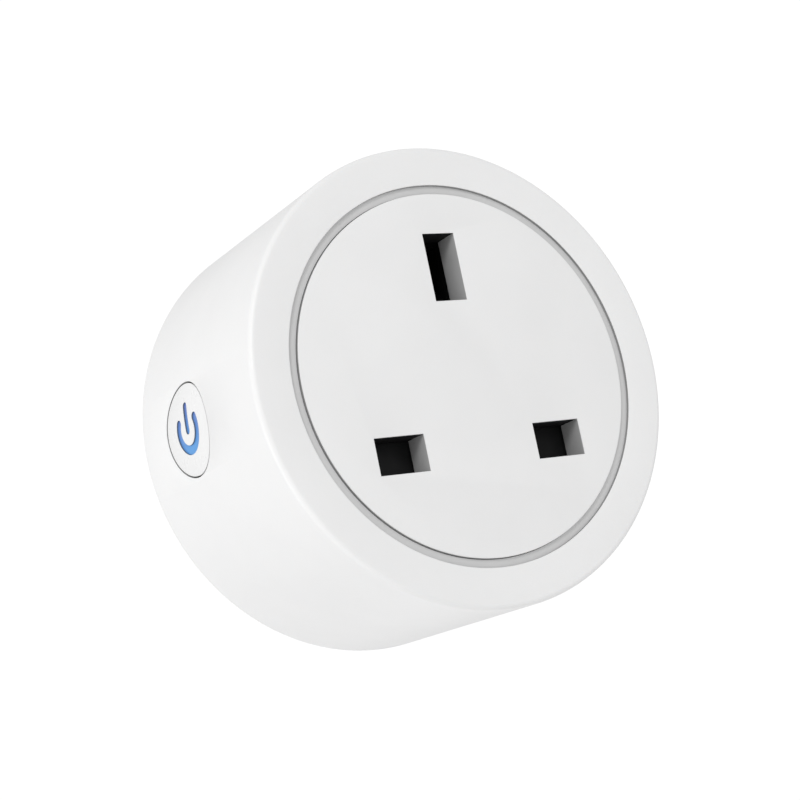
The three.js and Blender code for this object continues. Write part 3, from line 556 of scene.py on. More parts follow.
@dataclass(frozen=True)
class DrawnMetal(Finish):
    """Drawn, stamped or plated metal.

    The eye gets long fine lines along the way it was drawn or rolled, a sheen that
    changes between them, and slight dull patches from handling.
    """

    roughness: float = 0.24
    line_mm: float = 0.12
    stretch: tuple[float, float, float] = (1.0, 0.04, 1.0)
    line_depth_mm: float = 0.002
    tarnish: str = ""

    def shade(self, tree: Tree, shader: Node, place: Socket) -> None:
        """Adds draw lines, dull patches and a tarnish tint."""
        shader.inputs["Metallic"].default_value = 1.0
        lines = self.noise(tree, self.stretched(tree, place, self.stretch), self.line_mm, 3)
        patches = self.noise(tree, place, 3.5, 3)
        dull = spread(tree, patches, 0.0, 1.0)
        mixed = mix(tree, dull, self.colour, self.tarnish or self.colour)
        tree.links.new(mixed, shader.inputs["Base Color"])
        both = add_node(tree, "Math", {0: lines, 1: patches}, operation="MULTIPLY").outputs[0]
        inputs = {"Value": both, "From Min": 0.1, "From Max": 0.45}
        limits = {"To Min": self.roughness - 0.08, "To Max": self.roughness + 0.12}
        uneven = add_node(tree, "MapRange", inputs | limits)
        tree.links.new(uneven.outputs[0], shader.inputs["Roughness"])
        self.relief(tree, shader, lines, self.line_depth_mm)


@dataclass(frozen=True)
class SolderMask(Finish):
    """Glass-epoxy circuit board under solder mask.

    The eye gets a glossy tint with lighter copper tracks under it, and small tinned
    pads and vias in rows.
    """

    track: str = "2f8a52"
    pad: str = "c9ccc8"
    pitch_mm: float = 2.54
    across: tuple[float, float, float] = (0.0, 0.0, 0.0)

    def shade(self, tree: Tree, shader: Node, place: Socket) -> None:
        """Adds copper areas, then pads, both with a small step in height."""
        shader.inputs["IOR"].default_value = 1.5
        plan = add_node(tree, "Mapping", {"Vector": place, "Rotation": self.across}).outputs[0]
        cell = {"Vector": plan, "Scale": 1 / mm(self.pitch_mm * 2), "Randomness": 0.75}
        areas = add_node(tree, "TexVoronoi", cell, distance="MANHATTAN", feature="F1")
        step = {"Value": areas.outputs["Distance"], "From Min": 0.42, "From Max": 0.46}
        edges = add_node(tree, "MapRange", step).outputs[0]
        dots = {"Vector": plan, "Scale": 1 / mm(self.pitch_mm), "Randomness": 0.0}
        holes = add_node(tree, "TexVoronoi", dots)
        ring = {"Value": holes.outputs["Distance"], "From Min": 0.24, "From Max": 0.2}
        pads = add_node(tree, "MapRange", ring).outputs[0]
        masked = mix(tree, edges, self.colour, self.track)
        mixed = mix(tree, pads, masked, self.pad)
        tree.links.new(mixed, shader.inputs["Base Color"])
        tree.links.new(pads, shader.inputs["Metallic"])
        sheen = {"Value": pads, "To Min": 0.22, "To Max": 0.34}
        tree.links.new(add_node(tree, "MapRange", sheen).outputs[0], shader.inputs["Roughness"])
        raised = add_node(tree, "Math", {0: edges, 1: pads}, operation="ADD").outputs[0]
        self.relief(tree, shader, raised, 0.035)


@dataclass(frozen=True)
class WoundWire(Finish):
    """Enamelled copper wire wound side by side.

    The eye gets fine parallel turns, each with its own bright line from its bump, in a warm
    orange-brown enamel, with painted shade darkening the gaps between them.
    """

    wire_mm: float = 0.25
    shaded_gap_colour: str = "6b2f12"

    def shade(self, tree: Tree, shader: Node, place: Socket) -> None:
        """Adds round turns stacked along Y, with painted shade in the gaps between them."""
        shader.inputs["Metallic"].default_value = 0.85
        shader.inputs["Coat Weight"].default_value = 0.6
        # One band of the wave takes a twentieth of its scale's length.
        bands = {"Vector": place, "Scale": 1 / (20 * mm(self.wire_mm)), "Distortion": 0.2}
        wave = add_node(tree, "TexWave", bands, bands_direction="Y").outputs["Fac"]
        # Painted shade: the dark gap colour fills the troughs between turns.
        mixed = mix(tree, wave, self.shaded_gap_colour, self.colour)
        tree.links.new(mixed, shader.inputs["Base Color"])
        sheen = self.noise(tree, place, 0.8)
        tree.links.new(spread(tree, sheen, 0.25, 0.42), shader.inputs["Roughness"])
        self.relief(tree, shader, wave, self.wire_mm / 3)


@dataclass(frozen=True)
class StudioPaper(Finish):
    """Seamless pale paper for the floor, with a faint fibre."""

    def shade(self, tree: Tree, shader: Node, place: Socket) -> None:
        """Adds the paper's fibre."""
        shader.inputs["Roughness"].default_value = 0.9
        self.relief(tree, shader, self.noise(tree, place, 1.5), 0.02)


class Palette:
    """Every finish on this plug, each named for its real material; the recess, groove, pocket and
    tunnel finishes carry painted shade, and the pocket's also a painted blue cast from the guide.
    """

    # White ABS from a finely spark-eroded mould: bright, even and barely shiny.
    shell = MouldedPlastic("moulded_abs_white", "f1f1f1", mottle="efefef", bleed=0.05)
    # The same ABS from a flatter mould, a touch duller.
    face = MouldedPlastic("moulded_abs_face", "f0f0f0", mottle="eeeeee", roughness=0.46, bleed=0.05)
    # The same ABS painted grey as shade on the walls of the groove, the gap round the face and the
    # button's hole; flat, without the soft sheen.
    recess = DullPlastic("moulded_abs_recess_painted_shade", "989898", mottle="929292")
    # The groove's floor, a little rougher and painted half a tone darker as shade, so that the ring
    # reads.
    groove = MouldedPlastic("moulded_abs_groove_painted_shade", "d6d6d6", mottle="d1d1d1", roughness=0.55)
    # The walls of the narrow pockets round the symbol: painted dark shade as an outline, tinted
    # blue as painted light from the guide.
    pocket = DullPlastic("moulded_abs_pocket_painted_shade_and_glow", "74808f", mottle="6b7786")
    # The tunnels' side and floor walls: painted grey shade that reads as depth.
    tunnel = DullPlastic("moulded_abs_tunnel_painted_shade", "b0b0b0", mottle="a9a9a9")
    # Polished cap: smoother than the shell, so it looks a little brighter.
    button = MouldedPlastic(
        "polished_abs_button", "efefef", mottle="ededed", roughness=0.3, grain_depth_mm=0.0015
    )
    # Black nylon with a coarse matte grain, which swallows the light in the apertures.
    shutter = DullPlastic(
        "glass_filled_nylon_black", "111112", mottle="151516", gloss=0.2, grain_mm=0.25
    )
    # Black nylon moulded on the pins, smoother: a soft grey sheen on its long sides.
    sleeve = MouldedPlastic(
        "overmoulded_nylon_sleeve", "1b1b1d", mottle="202022", roughness=0.48, grain_mm=0.2
    )
    # Black phenolic: dense, dull and slightly speckled.
    carrier = MouldedPlastic(
        "phenolic_black", "0f0f10", mottle="141415", roughness=0.65, gloss=0.2, mottle_mm=2.0
    )
    # Unfilled nylon: a warm cream that lets the copper stand out.
    bobbin = MouldedPlastic("nylon_bobbin_cream", "ded8c8", mottle="d2cbb8", roughness=0.5)
    # Polyester case: a clean mid blue with a clear highlight.
    relay = MouldedPlastic("polyester_relay_blue", "2b67ab", mottle="2a62a2", roughness=0.32)
    # Transfer-moulded epoxy: charcoal, even and slightly mottled.
    epoxy = MouldedPlastic(
        "moulded_epoxy_black", "1f2022", mottle="28292b", roughness=0.55, mottle_mm=1.5
    )
    # Shrunk film over an aluminium can: dark navy with a tight highlight.
    can_sleeve = MouldedPlastic(
        "shrink_sleeve_navy", "1f2c3c", mottle="223144", roughness=0.25, grain_depth_mm=0.001
    )
    # Boxed film capacitor: a plain warm yellow.
    film_box = MouldedPlastic("capacitor_box_yellow", "d8b338", mottle="d2ab30", roughness=0.38)
    # Dipped epoxy: deep blue and glossy, with the faint orange peel of a dip.
    dipped = MouldedPlastic(
        "dipped_epoxy_blue", "2c63a3", mottle="275a96", roughness=0.22, grain_mm=0.8
    )
    # Fireproof cement coat: grey, dry and gritty.
    cement = MouldedPlastic(
        "cement_coat_grey", "7c8985", mottle="6f7b77", roughness=0.6, grain_depth_mm=0.012
    )
    # Sintered ferrite: near black, stony and dull.
    ferrite = MouldedPlastic(
        "sintered_ferrite", "37373a", mottle="2c2c2f", roughness=0.65, grain_depth_mm=0.015
    )
    # Clear cast epoxy: a small wet-looking bead.
    lamp = MouldedPlastic(
        "clear_epoxy_lamp", "e8eef6", mottle="dfe9f6", roughness=0.12, grain_depth_mm=0.0005
    )
    # Solid drawn brass, tumbled bright, with slight tarnish.
    pin = DrawnMetal("drawn_brass", "d9b25f", tarnish="c39a48", roughness=0.22)
    # Rolled brass strip: rolling lines along Z and a duller, browner tone.
    contact = DrawnMetal(
        "stamped_brass_sheet", "d3a955", tarnish="b98c3e", roughness=0.3, stretch=(1, 1, 0.05)
    )
    # Zinc plate over steel: a cool grey with a soft bloom.
    steel = DrawnMetal("zinc_plated_steel", "c4c7ca", tarnish="aeb3b5", roughness=0.3)
    # Drawn music wire: a thin bright line along each turn.
    spring = DrawnMetal(
        "music_wire_steel", "b4b7ba", tarnish="9da1a4", roughness=0.25, stretch=(1, 1, 1)
    )
    # Tin plate: a pale, slightly soft mirror.
    tinplate = DrawnMetal("tin_plate", "c9cbcc", tarnish="b9bcbe", roughness=0.27)
    # Annealed soft iron: darker grey and nearly matte.
    iron = DrawnMetal(
        "annealed_iron", "8f9396", tarnish="7d8185", roughness=0.42, stretch=(0.1, 1, 1)
    )
    # Enamelled wire: orange-brown turns, each with its own bright line, and painted shade between
    # them.
    copper = WoundWire("enamelled_copper_wire", "c8773c")
    # Green mask over copper: lighter tracks and rows of tinned dots.
    main_board = SolderMask("solder_mask_green", "145c33", across=(math.pi / 2, 0, 0))
    # Blue mask with a finer pitch, for the radio and the switch.
    small_board = SolderMask(
        "solder_mask_blue", "163f70", track="2b62a0", pitch_mm=1.27, across=(0, math.pi / 2, 0)
    )
    # Pale seamless paper: an even ground that keeps the eye on the plug.
    paper = StudioPaper("studio_paper", "f6f6f6")


# ---------------------------------------------------------------- sub-assemblies


def hand_over(piece: Piece, node: str) -> Piece:
    """Lets a piece stand for a frame node, on the body that the node rides on."""
    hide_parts(node)
    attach(piece, BODY_OF[node])
    return piece


def on_bore_edge(points: Iterable[Vector], y: float, bore: float, body: float) -> bool:
    """Tells whether points lie where a bore along X, centred at y, meets a body's radius."""
    return all(
        abs(math.hypot(p.y - y, p.z) - bore) < mm(0.02) and abs(p.xz.length - body) < mm(ON_WALL_MM)
        for p in points
    )


@dataclass
class Places:
    """Places and sizes that several sub-assemblies share; the places come from the frame."""

    housing: Box = field(default_factory=lambda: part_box("front_housing"))
    pins: dict[str, Box] = field(
        default_factory=lambda: {n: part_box(f"{n}_pin") for n in ("live", "neutral", "earth")}
    )
    screws: list[Box] = field(
        default_factory=lambda: [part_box(f"rear_screw_{i}") for i in (1, 2, 3)]
    )
    line_pin_mm: tuple[float, float] = (6.35, 3.97)
    earth_pin_mm: tuple[float, float] = (3.97, 7.92)
    cover_mm: float = 2.0
    past_mm: float = 1.0

    @property
    def radius(self) -> float:
        """The body's outer radius."""
        return self.housing[1].x

    @property
    def front(self) -> float:
        """The Y of the front face."""
        return self.housing[0].y

    @property
    def past(self) -> float:
        """How far a cutting tool runs past what it cuts."""
        return mm(self.past_mm)

    def centre(self, name: str) -> Vector:
        """Gives the middle of a node's box."""
        low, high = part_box(name)
        return (low + high) / 2

    def pin(self, pole: str) -> tuple[Vector, float, float]:
        """Gives the middle of a pin's box, then the pin's width and height in metres."""
        width, height = self.earth_pin_mm if pole == "earth" else self.line_pin_mm
        return self.centre(f"{pole}_pin"), mm(width), mm(height)


@dataclass
class Enclosure:
    """The round shell and the socket face in front of it."""

    places: Places
    sides: int = 384
    wall_mm: float = 2.0
    front_fillet_mm: float = 0.7
    rear_fillet_mm: float = 1.5
    rim_edge_mm: float = 0.12
    face_radius_mm: float = 22.35
    face_mm: float = 2.2
    groove_width_mm: float = 1.1
    groove_depth_mm: float = 0.45
    face_gap_mm: float = 0.07
    rim_wall_mm: float = 1.2
    line_aperture_mm: tuple[float, float] = (6.7, 4.4)
    earth_aperture_mm: tuple[float, float] = (4.4, 8.4)
    aperture_edge_mm: float = 0.1
    flange_mm: float = 1.0
    flange_fit_mm: float = 0.3
    flange_web_mm: float = 1.0
    tunnel_mm: float = 3.6
    tunnel_wall_mm: float = 1.1
    weld_mm: float = 0.3
    button_radius_mm: float = 5.77
    button_edge_mm: float = 0.08
    boss_radius_mm: float = 2.5
    boss_web_mm: float = 1.6
    boss_start_mm: float = 5.2
    boss_fit_mm: float = 0.3
    pilot_radius_mm: float = 1.4
    pilot_past_mm: float = 2.0
    carrier_boss_radius_mm: float = 2.2
    carrier_pilot_radius_mm: float = 1.2

    def build(self) -> list[Piece]:
        """Makes the two mouldings."""
        return [self.shell(), self.face()]

    def shell(self) -> Piece:
        """Makes the shell: a turned wall and rim, screw bosses, and the button's hole."""
        radius, front = self.places.radius, self.places.front
        inner = radius - mm(self.wall_mm)
        hole = mm(self.face_radius_mm + self.groove_width_mm)
        edge, fore, aft = mm(self.rim_edge_mm), mm(self.front_fillet_mm), mm(self.rear_fillet_mm)
        rim_back = front + mm(self.wall_mm)
        ledge = mm(self.face_radius_mm + self.face_gap_mm)
        floor = front + mm(self.groove_depth_mm)
        outline = [
            *arc((hole + edge, front + edge), edge, 180, 270, 4),
            *arc((radius - fore, front + fore), fore, -90, 0, 12),
            *arc((radius - aft, -aft), aft, 0, 90, 16),
            *arc((inner + edge, -edge), edge, 90, 180, 4),
            (inner, rim_back),
            (ledge, rim_back),
            (ledge, floor),
            (hole, floor),
        ]
        shell = turned("shell_moulding", outline, self.sides, closed=True)
        combine(shell, self.bosses(inner), Combine.JOIN)
        combine(shell, self.pilots(), Combine.CUT)
        y, mouth = self.places.centre("power_button").y, mm(self.button_radius_mm)
        ends = [(x, y, 0) for x in (-radius - self.places.past, 2 * mm(self.wall_mm) - radius)]
        combine(shell, [rod("button_tool", mouth, *ends, 128)], Combine.CUT)
        round_edges(shell, mm(self.button_edge_mm), 2, lambda *p: on_bore_edge(p, y, mouth, radius))
        finish(shell, Palette.shell.build())

        def in_recess(middle: Vector, normal: Vector) -> bool:
            """Picks the rim's wall round the groove and the wall of the button's hole, for painted
            shade.
            """
            from_rim = middle.xz.length - hole
            on_rim = -mm(self.rim_wall_mm) < from_rim < mm(ON_WALL_MM) and abs(normal.y) < SIDEWAYS
            from_button = math.hypot(middle.y - y, middle.z)
            near_bore = middle.x < 0 and abs(from_button - mouth) < mm(ON_WALL_MM)
            on_bore = near_bore and abs(normal.x) < SIDEWAYS
            return middle.y < rim_back and on_rim or on_bore

        def on_ledge(middle: Vector, normal: Vector) -> bool:
            """Picks the groove's floor, for a painted darker tone as shade."""
            inside = mm(self.face_radius_mm) < middle.xz.length < hole
            return inside and normal.y < -0.9 and middle.y < rim_back

        # The rim's wall and the button's hole get painted grey shade, and the groove's floor a
        # painted darker tone.
        second_finish(shell, Palette.recess.build(), in_recess)
        second_finish(shell, Palette.groove.build(), on_ledge)
        return hand_over(shell, "front_housing")

    def bosses(self, inner: float) -> Iterator[Piece]:
        """Makes the screw bosses and the webs that tie them to a wall of radius inner."""
        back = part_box("rear_cover")[1].y - mm(self.places.cover_mm + self.boss_fit_mm)
        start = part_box("contact_carrier")[0].y + mm(self.boss_start_mm)
        half, reach = mm(self.boss_web_mm) / 2, inner + mm(self.wall_mm) / 2
        for low, high in self.places.screws:
            middle = (low + high) / 2
            ends = [(middle.x, y, middle.z) for y in (start, back)]
            yield rod("boss", mm(self.boss_radius_mm), *ends, sides=48)
            web = block("web", (middle.xz.length, start, -half), (reach, back, half))
            web.rotation_euler = (0, -math.atan2(middle.z, middle.x), 0)
            freeze(web)
            yield web

    def pilots(self) -> Iterator[Piece]:
        """Makes the tools that drill the screws' pilot holes."""
        for low, high in self.places.screws:
            middle = (low + high) / 2
            ends = [(middle.x, y, middle.z) for y in (low.y - mm(self.pilot_past_mm), high.y)]
            yield rod("pilot_tool", mm(self.pilot_radius_mm), *ends, sides=40)

    def face(self) -> Piece:
        """Makes the socket face: a disc proud of its flange, with three tunnels behind."""
        low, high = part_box("face_plate")
        front, flange, past = low.y, high.x, self.places.past
        disc, edge = mm(self.face_radius_mm), mm(self.rim_edge_mm)
        web = disc - mm(self.flange_web_mm)
        flange_front = front + mm(self.wall_mm + self.flange_fit_mm)
        flange_back = flange_front + mm(self.flange_mm)
        back = front + mm(self.face_mm)
        outline = [
            *arc((disc - edge, front + edge), edge, -90, 0, 4),
            (disc, flange_front),
            (flange, flange_front),
            (flange, flange_back),
            (web, flange_back),
            (web, back),
        ]
        face = turned("socket_face", outline, self.sides)
        tunnel_end = front + mm(self.tunnel_mm)
        wall, weld = mm(self.tunnel_wall_mm), back - mm(self.weld_mm)
        slots = [self.slot_box(name) for name in self.places.pins]
        tunnels = [
            block(
                "tunnel",
                (x0 - wall, weld, z0 - wall),
                (x1 + wall, tunnel_end, min(z1 + wall, disc - wall)),
            )
            for x0, x1, z0, z1 in slots
        ]
        boss, drill = mm(self.carrier_boss_radius_mm), mm(self.carrier_pilot_radius_mm)
        spots = [self.places.centre(f"carrier_screw_{i}") for i in (1, 2)]
        bosses = [rod("boss", boss, (c.x, weld, c.z), (c.x, high.y, c.z), 48) for c in spots]
        combine(face, [*tunnels, *bosses], Combine.JOIN)
        tools = [
            block("slot_tool", (x0, front - past, z0), (x1, tunnel_end + past, z1))
            for x0, x1, z0, z1 in slots
        ]
        pilots = [
            rod("pilot_tool", drill, (c.x, back, c.z), (c.x, high.y + past, c.z), 40)
            for c in spots
        ]
        combine(face, [*tools, *pilots], Combine.CUT)

        def on_slot(*ends: Vector) -> bool:
            """Picks the front edges of the three apertures."""
            limit = disc - mm(0.3)
            return all(abs(p.y - front) < mm(NEAR_MM) and p.xz.length < limit for p in ends)

        round_edges(face, mm(self.aperture_edge_mm), 3, on_slot)
        finish(face, Palette.face.build())

        def in_slot(middle: Vector) -> bool:
            """Tells whether a point is on the wall of a tunnel."""
            near = mm(NEAR_MM)
            behind = front + mm(self.aperture_edge_mm) < middle.y < tunnel_end - near
            return behind and any(
                x0 - near < middle.x < x1 + near and z0 - near < middle.z < z1 + near
                for x0, x1, z0, z1 in slots
            )

        def on_disc(middle: Vector, normal: Vector) -> bool:
            """Picks the disc's wall, which the groove and the gap below it show, for painted shade.
            """
            on_wall = abs(middle.xz.length - disc) < mm(ON_WALL_MM) and abs(normal.y) < SIDEWAYS
            return on_wall and middle.y > front + edge

        # The tunnels' side and floor walls get painted grey shade, and their roofs the black
        # phenolic as a painted shadow.
        sides, painted_roof_shadow = Palette.tunnel.build(), Palette.carrier.build()
        second_finish(face, sides, lambda middle, n: in_slot(middle) and n.z > -0.5)
        second_finish(face, painted_roof_shadow, lambda middle, n: in_slot(middle) and n.z < -0.5)
        second_finish(face, Palette.recess.build(), on_disc)
        return hand_over(face, "face_plate")

    def slot_box(self, pole: str) -> tuple[float, float, float, float]:
        """Gives an aperture's lowest and highest X, then Z, for the pole's name."""
        width, height = self.earth_aperture_mm if pole == "earth" else self.line_aperture_mm
        middle, w, h = self.places.centre(f"{pole}_pin"), mm(width) / 2, mm(height) / 2
        return middle.x - w, middle.x + w, middle.z - h, middle.z + h


@dataclass
class RearCover:
    """The round cover at the back, with the holes for the pins and screws."""

    places: Places
    sides: int = 384
    edge_mm: float = 0.25
    hole_edge_mm: float = 0.12
    post_radius_mm: float = 1.5
    posts_mm: tuple[tuple[float, float], ...] = ((-16, 6), (16, 6), (0, -14))
    weld_mm: float = 0.2
    hole_radius_mm: float = 1.4
    sink_radius_mm: float = 2.6
    sink_mm: float = 1.2
    pin_fit_mm: float = 0.15

    def build(self) -> list[Piece]:
        """Makes the cover, with pin holes, countersinks and posts that carry the board."""
        low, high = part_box("rear_cover")
        radius, edge, inside = high.x, mm(self.edge_mm), -mm(self.places.cover_mm)
        outline = [(radius, inside), *arc((radius - edge, -edge), edge, 0, 90, 5)]
        cover = turned("rear_moulding", outline, self.sides)
        ends = low.y, inside + mm(self.weld_mm)
        posts = [
            rod("post", mm(self.post_radius_mm), *[(mm(x), y, mm(z)) for y in ends], 40)
            for x, z in self.posts_mm
        ]
        combine(cover, posts, Combine.JOIN)
        combine(cover, [*self.pin_tools(inside), *self.countersinks(inside)], Combine.CUT)

        def on_hole(*ends: Vector) -> bool:
            """Picks the outer edges of the pin holes and countersinks."""
            limit = radius - mm(0.3)
            return all(abs(p.y) < mm(NEAR_MM) and p.xz.length < limit for p in ends)

        round_edges(cover, mm(self.hole_edge_mm), 2, on_hole)
        finish(cover, Palette.shell.build())
        return [hand_over(cover, "rear_cover")]

    def pin_tools(self, inside: float) -> Iterator[Piece]:
        """Makes the tools that cut the three pin holes."""
        past, fit = self.places.past, mm(self.pin_fit_mm)
        for pole in self.places.pins:
            middle, width, height = self.places.pin(pole)
            w, h = width / 2 + fit, height / 2 + fit
            low = (middle.x - w, inside - past, middle.z - h)
            yield block("pin_tool", low, (middle.x + w, past, middle.z + h))

    def countersinks(self, inside: float) -> Iterator[Piece]:
        """Makes the tools that cut the screws' countersunk holes."""
        past = self.places.past
        narrow, wide = mm(self.hole_radius_mm), mm(self.sink_radius_mm)
        for low, high in self.places.screws:
            seat = high.y - mm(self.sink_mm)
            outline = [(narrow, inside - past), (narrow, seat), (wide, high.y), (wide, past)]
            tool = turned("countersink_tool", outline, 48)
            tool.location = ((low.x + high.x) / 2, 0, (low.z + high.z) / 2)
            freeze(tool)
            yield tool


@dataclass
class CoverScrews:
    """The countersunk cross-head screws that hold the cover."""

    places: Places
    core_mm: float = 0.95
    crest_mm: float = 1.2
    pitch_mm: float = 0.9
    point_mm: float = 0.35
    length_mm: float = 8.0
    lead_mm: float = 1.0
    neck_mm: float = 1.2
    plain_mm: float = 0.4
    head_mm: float = 2.4
    head_edge_mm: float = 0.1
    arm_mm: tuple[float, float, float] = (0.36, 1.35, 0.8)
    hub_mm: tuple[float, float, float] = (0.3, 0.9, 1.1)
    above_mm: float = 0.5

    def build(self) -> list[Piece]:
        """Makes one screw and copies it to each place."""
        pattern = self.pattern()
        made = []
        for i, (low, high) in enumerate(self.places.screws, 1):
            screw = pattern if i == len(self.places.screws) else pattern.copy()
            if screw is not pattern:
                screw.data = pattern.data.copy()
                bpy.context.collection.objects.link(screw)
            screw.name = f"cover_screw_{i}"
            screw.location = ((low.x + high.x) / 2, high.y, (low.z + high.z) / 2)
            freeze(screw)
            made.append(hand_over(screw, f"rear_screw_{i}"))
        return made

    def pattern(self) -> Piece:
        """Makes a screw with its head's top at the origin and a cross recess."""
        core, crest, pitch = mm(self.core_mm), mm(self.crest_mm), mm(self.pitch_mm)
        tip, neck, lead = -mm(self.length_mm), -mm(self.neck_mm), mm(self.lead_mm)
        head, edge, above = mm(self.head_mm), mm(self.head_edge_mm), mm(self.above_mm)
        threads = int((neck - mm(self.plain_mm) - tip - lead) / pitch)
        ridge = ((core, 0.0), (crest, 0.4), (crest, 0.5), (core, 0.9))
        outline = [(mm(self.point_mm), tip), (core, tip + 0.9 * lead)]
        for i in range(threads):
            outline += [(r, tip + lead + (i + share) * pitch) for r, share in ridge]
        outline += [(core, neck), (head - edge, -1.2 * edge), (head, -edge / 2), (head - edge, 0)]
        screw = turned("screw", outline, 64)
        narrow, wide, deep = (mm(v) for v in self.arm_mm)
        tools = [
            block("arm", (-w, -deep, -h), (w, above, h))
            for w, h in ((narrow, wide), (wide, narrow))
        ]
        point, mouth, sunk = (mm(v) for v in self.hub_mm)
        hub = rod("hub", point, (0, -sunk, 0), (0, above, 0), 24, end_radius=mouth)
        combine(screw, [*tools, hub], Combine.CUT)
        finish(screw, Palette.steel.build())
        return screw


@dataclass
class WallPins:
    """The three pins and the sleeves on two of them."""

    places: Places
    sleeve_end_mm: float = 9.5
    sleeve_wall_mm: float = 0.5
    sleeve_fit_mm: float = 0.15
    sleeve_gap_mm: float = 0.05
    sleeve_lip_mm: float = 0.12
    head_back_mm: float = 2.3
    head_mm: float = 1.7
    head_lip_mm: float = 1.2
    tail_mm: tuple[float, float] = (3.0, 1.2)
    edge_mm: float = 0.45
    tip_mm: float = 0.9
    long_mm: float = 1.0

    def build(self) -> list[Piece]:
        """Makes every pin and sleeve."""
        made = []
        for pole in self.places.pins:
            made.append(self.pin(pole))
            if pole != "earth":
                made.append(self.sleeve(pole))
        return made

    def pin(self, pole: str) -> Piece:
        """Makes one pin: tail, head, neck, and a blade with rounded edges and tip."""
        low, high = self.places.pins[pole]
        middle, width, height = self.places.pin(pole)
        earth = pole == "earth"
        slim = 0.0 if earth else 2 * mm(self.sleeve_wall_mm + self.sleeve_fit_mm)
        lip = 2 * mm(self.head_lip_mm)
        head_back = -mm(self.head_back_mm)
        head_front = head_back - mm(self.head_mm)
        tail = tuple(mm(v) for v in self.tail_mm)
        blade = head_back if earth else mm(self.sleeve_end_mm + self.sleeve_gap_mm)
        steps = [
            (*tail, low.y),
            (*tail, head_front),
            (width + lip, height + lip, head_front),
            (width + lip, height + lip, head_back),
            (width - slim, height - slim, head_back),
        ]
        if slim:
            steps += [(width - slim, height - slim, blade), (width, height, blade)]
        steps.append((width, height, high.y))
        pin = stepped(f"{pole}_blade", (middle.x, middle.z), steps)
        near = mm(NEAR_MM)

        def along_blade(a: Vector, b: Vector) -> bool:
            """Picks the blade's long edges."""
            far = min(a.y, b.y) > blade - near and max(a.y, b.y) > high.y - near
            return far and abs(a.y - b.y) > mm(self.long_mm)

        round_edges(pin, mm(self.edge_mm), 4, along_blade)
        round_edges(pin, mm(self.tip_mm), 6, lambda a, b: min(a.y, b.y) > high.y - near)
        finish(pin, Palette.pin.build(), angle=40)
        return hand_over(pin, f"{pole}_pin")

    def sleeve(self, pole: str) -> Piece:
        """Makes one insulating sleeve, a tube with rounded corners and a soft front lip."""
        low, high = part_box(f"{pole}_pin_sleeve")
        sleeve = block(f"{pole}_sleeve", low, high)
        long, last = mm(self.long_mm), high.y - mm(NEAR_MM)
        round_edges(sleeve, mm(self.edge_mm), 4, lambda a, b: abs(a.y - b.y) > long)
        round_edges(sleeve, mm(self.sleeve_lip_mm), 3, lambda a, b: min(a.y, b.y) > last)
        inset = Vector((mm(self.sleeve_wall_mm), -self.places.past, mm(self.sleeve_wall_mm)))
        bore = block("bore_tool", low + inset, high - inset)
        combine(sleeve, [bore], Combine.CUT)
        finish(sleeve, Palette.sleeve.build(), angle=40)
        return hand_over(sleeve, f"{pole}_pin_sleeve")


